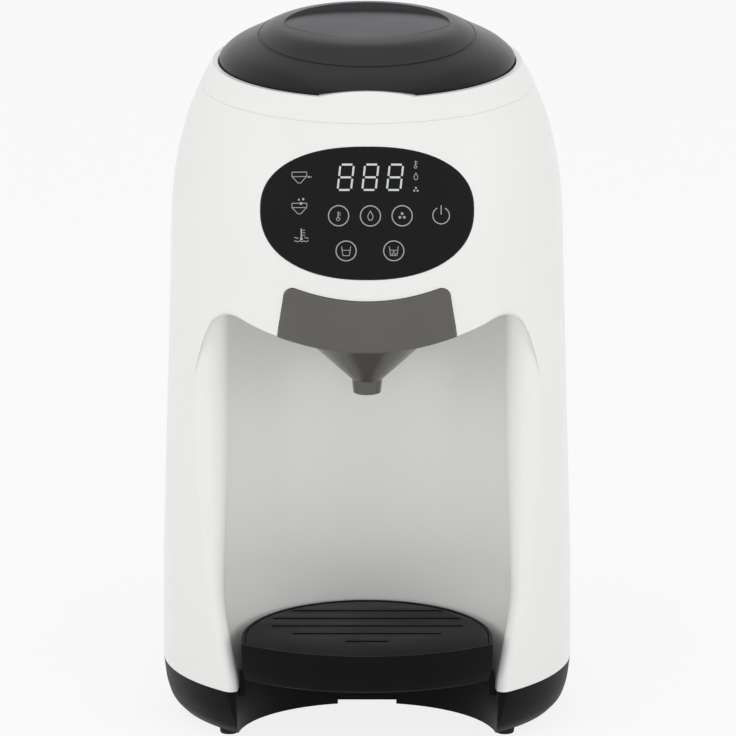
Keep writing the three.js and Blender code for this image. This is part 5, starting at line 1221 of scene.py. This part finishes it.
@dataclass
class Funnel:
    """The pull-out funnel: curved front plate, bowl, cone and spout in one smoky moulding."""

    finishes: Finishes
    half_top: float = 36.6
    half_bottom: float = 39.45
    top: float = 207.7
    top_curve: float = 116.0
    corner: float = 4.5
    proud: float = 0.9
    thick: float = 2.4
    edge: float = 0.8
    bowl_radius: float = 31.0
    axis_y: float = -33.0
    spout_bottom: float = 152.5
    cone_bottom: float = 158.6
    wall: float = 2.0
    flange_top: float = 199.4
    flange_half: float = 36.5
    flange_thick: float = 1.8

    def top_at(self, x: np.ndarray) -> np.ndarray:
        """The plate's top edge: a shallow hollow curve that turns down in a quarter circle at its ends."""
        end = self.half_top - self.corner
        x = np.abs(np.asarray(x, float))
        crown = self.top + np.minimum(x, end) ** 2 / (2 * self.top_curve)
        over = np.clip(x - end, 0, self.corner)
        return crown - self.corner + np.sqrt(self.corner**2 - over**2)

    def outline_half(self, grow: float) -> np.ndarray:
        """The plate's right outline in front view, from the top's middle to its lower corner."""
        end = self.half_top - self.corner
        x = np.linspace(0, end, 25)
        crown = np.stack([x, self.top + x**2 / (2 * self.top_curve) + grow], axis=1)
        turn = np.linspace(math.pi / 2, 0, 13)[1:]
        radius = self.corner + grow
        centre = self.top + end**2 / (2 * self.top_curve) - self.corner
        bend = np.stack([end + radius * np.cos(turn), centre + radius * np.sin(turn)], axis=1)
        low = np.array([[self.half_bottom + grow, float(BODY.chin_at(self.half_bottom))]])
        return np.concatenate([crown, bend, low])

    def plate(self) -> Skin:
        """The plate: a grid between chin and top edge on the shell's surface, front and back.

        Its height over the shell falls off by a quarter circle within edge of the border, so the
        front edges are round.
        """
        near = np.array([0.0, 0.08, 0.25, 0.5, 0.8, 1.2])
        span = self.half_bottom
        from_side = np.concatenate([near / span, np.linspace(0.05, 1, 45)])
        half = np.concatenate([from_side, (2 - from_side[::-1])[1:]]) - 1
        rise = float(self.top - BODY.chin_height)
        from_low = np.concatenate([near / rise, np.linspace(0.08, 0.5, 12)])
        up = np.concatenate([from_low, (1 - from_low[::-1])[1:]])
        across, level = np.meshgrid(half, up)
        wide = mix(self.half_bottom, self.half_top, level)
        x = across * wide
        low, high = BODY.chin_at(x), self.top_at(across * self.half_top)
        z = mix(low, high, level)
        gap = np.minimum.reduce([wide - np.abs(x), z - low, high - z])
        short = np.clip(self.edge - gap, 0, self.edge)
        height = self.proud - self.edge + np.sqrt(self.edge**2 - short**2)
        front = np.stack([x, BODY.front(x, z, height), z], axis=-1)
        back = np.stack([x, BODY.front(x, z, self.proud - self.thick), z], axis=-1)
        skin = Skin().grid(front).grid(back)
        for border in ((0, slice(None)), (-1, slice(None)), (slice(None), 0), (slice(None), -1)):
            skin.grid(np.stack([front[border], back[border]]))
        return skin

    def make(self) -> bpy.types.Object:
        """The moulding: plate, floor, bowl and flanges joined, less the bowl's inside."""
        r, y = self.bowl_radius, self.axis_y
        tip, root, cone_top = 6.1, 6.7, 181.4
        tip_bore, root_bore, cone_bore = 4.1, 4.7, 183.4
        low, high, inner_r = self.spout_bottom, self.flange_top, r - self.wall
        outer = [(0.0, low, 0), (tip, low, 0.3), (root, self.cone_bottom, 0.5)]
        outer = soften([*outer, (r, cone_top, 1.6), (r, high, 0.0), (0.0, high, 0)])
        inner = [(0.0, low - 2, 0), (tip_bore, low - 2, 0), (root_bore, self.cone_bottom + 1, 0.6)]
        inner = soften([*inner, (inner_r, cone_bore, 1.6), (inner_r, high + 2, 0), (0.0, high + 2, 0)])
        x = np.linspace(-r, r, 41)
        under = np.stack([x, BODY.chin_at(x)], axis=1)
        band = np.concatenate([under + (0.0, self.wall), under[::-1]])
        ahead, inside_shell = -95, 0.7
        floor = prism(band, ahead, y, Plane.BACK).build("floor")
        z = np.linspace(150, 205, 12)
        behind = np.column_stack([BODY.radius_at(z) - inside_shell, z])
        behind = np.concatenate([[(0.0, z[0])], behind, [(0.0, z[-1])]])
        merge(floor, [revolve(behind, 240)], Join.KEEP)
        half, thick = self.flange_half, self.flange_thick
        flange = prism(rounded_rectangle(-half, half, y - r / 2, y + r / 2, 1.5), high - thick, high)
        funnel = self.plate().build("mixing_funnel_moulding")
        merge(funnel, [floor, revolve(outer, 160, 0.0, y), flange], Join.ADD)
        merge(funnel, [revolve(inner, 160, 0.0, y)], Join.CUT)
        return place(funnel, self.finishes.smoke, "mixing_funnel", "smoky_plastic", ["mixing_funnel"])


@dataclass
class Tray:
    """The drip tray and its slotted cover."""

    finishes: Finishes
    front_y: float = -97.0
    front_radius: float = 85.0
    half_width: float = 55.4
    rear_y: float = -2.4
    bottom: float = 32.0
    top: float = 49.0
    wall: float = 2.2
    draft: float = 1.6
    cover_inset: float = 1.9
    cover_rear_gap: float = 3.1
    cover_thick: float = 2.4
    slot_width: float = 2.2
    slot_halves: tuple[float, ...] = (9.7, 33.1, 42.4, 41.6, 33.5)
    first_slot: float = 24.4
    slot_pitch: float = 12.6
    side_share: float = 0.34
    seat_play: float = 0.3

    def outline(self, inset: float, rear_inset: float | None = None) -> np.ndarray:
        """The tray in plan: a front arc, straight sides and half an ellipse at the rear."""
        centre = self.front_y + self.front_radius
        behind = inset if rear_inset is None else rear_inset
        radius, side = self.front_radius - inset, self.half_width - inset
        corner = math.asin(side / radius)
        turn = np.linspace(-corner, corner, 81)
        front = np.stack([radius * np.sin(turn), centre - radius * np.cos(turn)], axis=1)
        side_rear = mix(self.front_y, self.rear_y, self.side_share)
        bend = np.linspace(0, math.pi, 97)
        depth = self.rear_y - behind - side_rear
        rear = np.stack([side * np.cos(bend), side_rear + depth * np.sin(bend)], 1)
        return np.concatenate([front, rear])

    def tray(self) -> bpy.types.Object:
        """The tray: outlines stacked with a draft and rounded edges, hollow, with the cover's seat."""
        levels = (
            (self.bottom, self.draft + 1.1),
            (self.bottom + 0.25, self.draft + 0.5),
            (self.bottom + 0.9, self.draft + 0.1),
            (37.1, 0.4),
            (43.0, 0.12),
            (self.top - 0.7, 0.0),
            (self.top - 0.25, 0.1),
            (self.top, 0.45),
        )
        tray = stack(self.outline, levels).build("tray_bowl")
        hollow = prism(self.outline(self.draft + self.wall), self.bottom + self.wall, self.top + 2)
        play = self.seat_play
        seat = prism(self.outline(self.cover_inset - play), self.top - self.cover_thick - play, self.top + 2)
        merge(tray, [hollow, seat], Join.CUT)
        return place(tray, self.finishes.black_pp, "drip_tray", "black_plastic", ["drip_tray"])

    def cover(self) -> bpy.types.Object:
        """The cover: a plate with rounded edges, a groove inside its edge and five slots."""
        inset = self.cover_inset
        low = self.top - self.cover_thick
        levels = (
            (low, inset + 0.3),
            (low + 0.3, inset),
            (self.top - 0.45, inset),
            (self.top - 0.12, inset + 0.13),
            (self.top, inset + 0.45),
        )
        more = self.cover_rear_gap - inset
        cover = stack(lambda value: self.outline(value, value + more), levels).build("cover_plate")
        slots = []
        for i, half in enumerate(self.slot_halves):
            y = self.front_y + self.first_slot + self.slot_pitch * i
            outline = rounded_rectangle(-half, half, y, y + self.slot_width, self.slot_width / 2 - 0.01)
            slots.append(prism(outline, low - 2, self.top + 2))
        merge(cover, slots, Join.CUT)
        return place(cover, self.finishes.black_pp, "tray_cover", "black_plastic", ["tray_cover"])


@dataclass
class Base:
    """The black base pan with its concave front, and the rubber feet."""

    finishes: Finishes
    skirt: tuple[tuple[float, float], ...] = ((83.0, 4.0), (86.5, 7.4), (88.7, 14.0), (90.0, 23.8))
    bottom: float = 4.0
    floor: float = 2.4
    wall: float = 2.6
    shelf_half: float = 63.5
    shelf_rear: float = 141.5
    shelf_corner: float = 32.5
    notch_half: float = 12.9
    notch_y: tuple[float, float] = (-13.9, -6.1)
    notch_top: float = 8.0
    inlet_x: tuple[float, float] = (18.6, 41.4)
    inlet_z: tuple[float, float] = (7.6, 20.4)
    foot_tip: float = 3.9
    foot_radius: float = 4.4
    foot_top: float = 3.7

    def bay_outline(self, inset: float = 0.0) -> np.ndarray:
        """The bay's plan at the base, carried on forwards past the front."""
        share = np.concatenate([np.linspace(0, WALL_SHARE, 60), np.linspace(WALL_SHARE, 1, 20)[1:]])
        half = BODY.bay_plan(BODY.base_top, share, inset)
        end = half[-1] + np.array([70.0, -50.0])
        right = np.concatenate([half, [end, (end[0], -150.0)]])
        return np.concatenate([right, flipped(right[:0:-1])])

    def form(self, inset: float, bottom: float, top: float) -> bpy.types.Object:
        """The round skirt and the tank's shelf as one solid, with the skirt's curve drawn smooth."""
        rows = soften([(r - inset, z, 2.4) for r, z in self.skirt], 8)
        rows[:, 1] = np.maximum(rows[:, 1], bottom)
        profile = np.concatenate([[(0.0, bottom)], rows, [(rows[-1][0], top), (0.0, top)]])
        dish = revolve(profile, 240).build("dish")

        def plan(draw: float) -> np.ndarray:
            """The shelf in plan, drawn in."""
            half, rear, corner = self.shelf_half - draw, self.shelf_rear - draw, self.shelf_corner - draw
            return rounded_rectangle(-half, half, 0.0, rear, corner, 20)

        levels = [(z, BODY.radius - r) for r, z in rows]
        return merge(dish, [stack(plan, [*levels, (top, levels[-1][1])])], Join.ADD)

    def pan(self) -> bpy.types.Object:
        """The pan: skirt and shelf less the hollow, the bay, the notch and the inlet's hole."""
        pan = self.form(0.0, self.bottom, 26.0)
        pan.name = "base_skirt"
        merge(pan, [block(95.0, -95.0, 145.0, 0, BODY.base_top)], Join.KEEP)
        hollow = self.form(self.wall, self.bottom + self.floor, 28.0)
        over = 30
        merge(hollow, [prism(self.bay_outline(self.wall), 0, over)], Join.CUT)
        notch = block(self.notch_half, *self.notch_y, 0, self.notch_top)
        inlet = prism(rounded_rectangle(*self.inlet_x, *self.inlet_z, 1.5), 121.1, 150, Plane.BACK)
        merge(pan, [hollow, prism(self.bay_outline(), 0, over), notch, inlet], Join.CUT)
        inside, outside, rim, top = 50.0, 56.9, 59.0, 31.7
        ledge = [(inside, 28.3), (54.6, 28.3), (54.6, 21.0), (rim, 21.0), (rim, BODY.base_top)]
        ledge = np.array([*ledge, (outside, BODY.base_top), (outside, top), (inside, top)])
        rest = ring_of(ledge, 160, 0.0, -69.3).build("ledge")
        merge(rest, [block(95.0, -60.0, 0.0, 0, top)], Join.KEEP)
        merge(pan, [rest], Join.ADD)
        return place(pan, self.finishes.black_pp, "housing", "black_plastic", ["base_pan"])

    def feet(self) -> None:
        """Four turned feet with a round lower edge."""
        radius, top = self.foot_radius, self.foot_top
        profile = soften([(0.0, 0.0, 0), (self.foot_tip, 0.0, 0.7), (radius, top, 0.2), (0.0, top, 0)])
        for name, x, y in (
            ("foot_front_left", -60.9, -45.2),
            ("foot_front_right", 60.9, -45.2),
            ("foot_rear_left", -46.0, 125.25),
            ("foot_rear_right", 46.0, 125.25),
        ):
            foot = revolve(profile, 48, x, y).build(f"rubber_{name}")
            place(foot, self.finishes.rubber, "housing", "rubber", [name])


@dataclass
class Tank:
    """The lift-off water tank; its flap keeps its CAD solid."""

    finishes: Finishes
    half_width: float = 61.0
    front: float = 72.6
    rear: float = 139.0
    bottom: float = 26.8
    top: float = 239.7
    wall: float = 2.2
    corner: float = 30.0
    front_corner: float = 1.6
    neck_y: float = 102.0

    def outline(self, inset: float) -> np.ndarray:
        """The tank in plan: small radii at the front, large ones at the rear."""
        side, front, rear = self.half_width - inset, self.front + inset, self.rear - inset
        small, large = max(self.front_corner - inset, 0.2), self.corner - inset
        parts = []
        for x, y, radius, start in (
            (side, front, small, -0.5),
            (side, rear, large, 0.0),
            (-side, rear, large, 0.5),
            (-side, front, small, 1.0),
        ):
            turn = start * math.pi + np.linspace(0, math.pi / 2, 6 if radius == small else 30)
            cx = x - math.copysign(radius, x)
            cy = y - radius if y == rear else y + radius
            parts.append(np.stack([cx + radius * np.cos(turn), cy + radius * np.sin(turn)], axis=1))
        return np.concatenate(parts)

    def tank(self) -> bpy.types.Object:
        """The tank: outlines stacked with a rounded bottom, hollow, with its neck and hinge ears."""
        low, top, wall = self.bottom, self.top, self.wall
        levels = ((low, 1.3), (low + 0.35, 0.5), (low + 1.3, 0.0), (top - 0.4, 0.0), (top, 0.3))
        tank = stack(self.outline, levels).build("tank_body")
        floor = low + 2.4
        inside = ((floor, wall + 1.0), (floor + 0.3, wall + 0.3), (floor + 1.0, wall), (top + 2, wall))
        neck_low, neck_radius, seat, bore_radius, throat = 17.5, 10.0, 19.5, 7.5, 4.5
        neck = [(0.0, neck_low), (neck_radius, neck_low), (neck_radius, floor - 0.2), (0.0, floor - 0.2)]
        bore = [(0.0, neck_low - 2), (throat, neck_low - 2), (throat, seat), (bore_radius, seat)]
        bore += [(bore_radius, floor + 2), (0.0, floor + 2)]
        merge(tank, [revolve(np.array(neck), 64, 0.0, self.neck_y)], Join.ADD)
        merge(tank, [stack(self.outline, inside), revolve(np.array(bore), 64, 0.0, self.neck_y)], Join.CUT)
        front, rear, foot, head = 132.6, 139.0, 236.7, 245.6
        ear = [(front, foot, 0), (rear, foot, 0), (rear, head, 2.0), (front, head, 2.0), (front, foot, 0)]
        ear = soften(ear)[:-1]
        merge(tank, [prism(ear, near, near + 3.0, Plane.ACROSS) for near in (-29.4, 26.4)], Join.ADD)
        return place(tank, self.finishes.clear, "water_tank", "clear_plastic", ["water_tank"])


class Carried:
    """The CAD nodes whose shape stays, with their finishes."""

    def __init__(self, finishes: Finishes) -> None:
        """Pairs each finish with its nodes."""
        self.groups = (
            (finishes.nylon, "mechanism_deck powder_chute water_nozzle drive_gear motor_pinion"),
            (finishes.nylon, "dosing_wheel levelling_plate stirrer"),
            (finishes.steel, "dosing_motor heater_bracket temperature_probe valve_spring"),
            (finishes.board, "display_board power_board"),
            (finishes.black_pp, "display_module water_pump tank_dock power_inlet"),
            (finishes.aluminium, "heater_tube"),
            (finishes.silicone, "dock_hose heater_hose nozzle_hose lid_seal tank_valve"),
            (finishes.clear, "hopper_cup"),
            (finishes.graphite, "tank_flap"),
        )

    def dress(self) -> None:
        """Puts each finish in its nodes' material slots."""
        for material, names in self.groups:
            for name in names.split():
                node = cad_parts[name]
                for slot in node.material_slots:
                    slot.material = material
                if not node.material_slots:
                    node.data.materials.append(material)
                log.info("%s keeps its solid, finish %s", name, material.name)


# The studio


@dataclass
class Studio:
    """Camera, lamps, floor and surroundings."""

    elevation: float = 15.0
    distance: float = 12.0
    span: float = 0.3253
    target: tuple[float, float, float] = (0.0004, -0.02225, 0.1545)
    lit_at: tuple[float, float, float] = (0.0, 0.0, 0.15)
    white: tuple[float, float, float, float] = (1.0, 1.0, 1.0, 1.0)
    fill: float = 0.62
    floor_reach: float = 8.0
    floor_white: float = 0.85

    def camera(self) -> None:
        """A long lens at the photograph's height of view; span is what 736 pixels cover."""
        data = bpy.data.cameras.new("camera")
        data.sensor_width = 36.0
        data.lens = 36.0 * self.distance / self.span
        data.clip_end = 100.0
        made = bpy.data.objects.new("camera", data)
        rise = math.radians(self.elevation)
        made.location = Vector(self.target) + self.distance * Vector((0.0, -math.cos(rise), math.sin(rise)))
        made.rotation_euler = (math.radians(90 - self.elevation), 0.0, 0.0)
        bpy.context.scene.collection.objects.link(made)
        bpy.context.scene.camera = made

    def lamps(self) -> None:
        """Square soft lamps: a broad one on top, one at each side and a low front fill for the bay.

        Only the top one mirrors in gloss.
        """
        for name, spot, size, power, in_gloss in (
            ("top_softbox", (0.0, -0.15, 1.6), 1.4, 3.4, True),
            ("left_softbox", (-1.6, -0.6, 0.5), 1.0, 4.4, False),
            ("right_softbox", (1.6, -0.6, 0.5), 1.0, 4.4, False),
            ("front_softbox", (0.0, -2.0, 0.12), 1.2, 10.0, False),
        ):
            data = bpy.data.lights.new(name, "AREA")
            data.size = size
            data.energy = power
            made = bpy.data.objects.new(name, data)
            made.location = spot
            made.visible_glossy = in_gloss
            made.rotation_euler = (Vector(self.lit_at) - Vector(spot)).to_track_quat("-Z", "Y").to_euler()
            bpy.context.scene.collection.objects.link(made)

    def surround(self) -> None:
        """Plain surroundings: soft light on the object, white where they are seen directly."""
        world = bpy.data.worlds.new("studio")
        tree = blank_tree(world)
        reach = {"Value": seen_directly(tree), "To Min": self.fill, "To Max": 1.0}
        strength = add_node(tree, "ShaderNodeMapRange", inputs=reach)
        light = {"Color": self.white, "Strength": strength.outputs["Result"]}
        back = add_node(tree, "ShaderNodeBackground", inputs=light)
        add_node(tree, "ShaderNodeOutputWorld", inputs={"Surface": back.outputs[0]})
        bpy.context.scene.world = world

    def floor(self) -> None:
        """A pale floor that keeps the object's shadow and is near white where it is seen directly."""
        mesh = bpy.data.meshes.new("floor")
        reach = self.floor_reach
        corners = [(-reach, -reach, 0), (reach, -reach, 0), (reach, reach, 0), (-reach, reach, 0)]
        mesh.from_pydata(corners, [], [(0, 1, 2, 3)])
        made = bpy.data.objects.new("floor", mesh)
        bpy.context.scene.collection.objects.link(made)
        paper = bpy.data.materials.new("matt_white_paper")
        tree = blank_tree(paper)
        seen = seen_directly(tree)
        diffuse = add_node(tree, "ShaderNodeBsdfDiffuse", inputs={"Color": linear("#f4f4f4")}).outputs[0]
        glow = add_node(tree, "ShaderNodeEmission", inputs={"Color": self.white, "Strength": 1.0}).outputs[0]
        lifted = add_node(tree, "ShaderNodeMixShader", inputs={0: self.floor_white, 1: diffuse, 2: glow})
        chosen = add_node(tree, "ShaderNodeMixShader", inputs={0: seen, 1: diffuse, 2: lifted.outputs[0]})
        add_node(tree, "ShaderNodeOutputMaterial", inputs={"Surface": chosen.outputs[0]})
        mesh.materials.append(paper)

    def make(self) -> None:
        """Sets the studio up."""
        self.camera()
        self.lamps()
        self.surround()
        self.floor()
        bpy.context.scene.view_settings.view_transform = "Standard"


def main() -> None:
    """Builds the studio and every sub-assembly in order."""
    logging.basicConfig(level=logging.INFO, format="%(name)s: %(message)s")
    Studio().make()
    finishes = Finishes()
    funnel, housing, panel = Funnel(finishes), Housing(finishes), ControlPanel(finishes)
    tray, base = Tray(finishes), Base(finishes)
    housing.main_shell(funnel)
    housing.collar()
    housing.rear_cover()
    Lid(finishes).make()
    panel.glass()
    panel.digits()
    panel.marks()
    funnel.make()
    tray.tray()
    tray.cover()
    base.pan()
    base.feet()
    Tank(finishes).tank()
    Carried(finishes).dress()


if __name__ == "__main__":
    main()
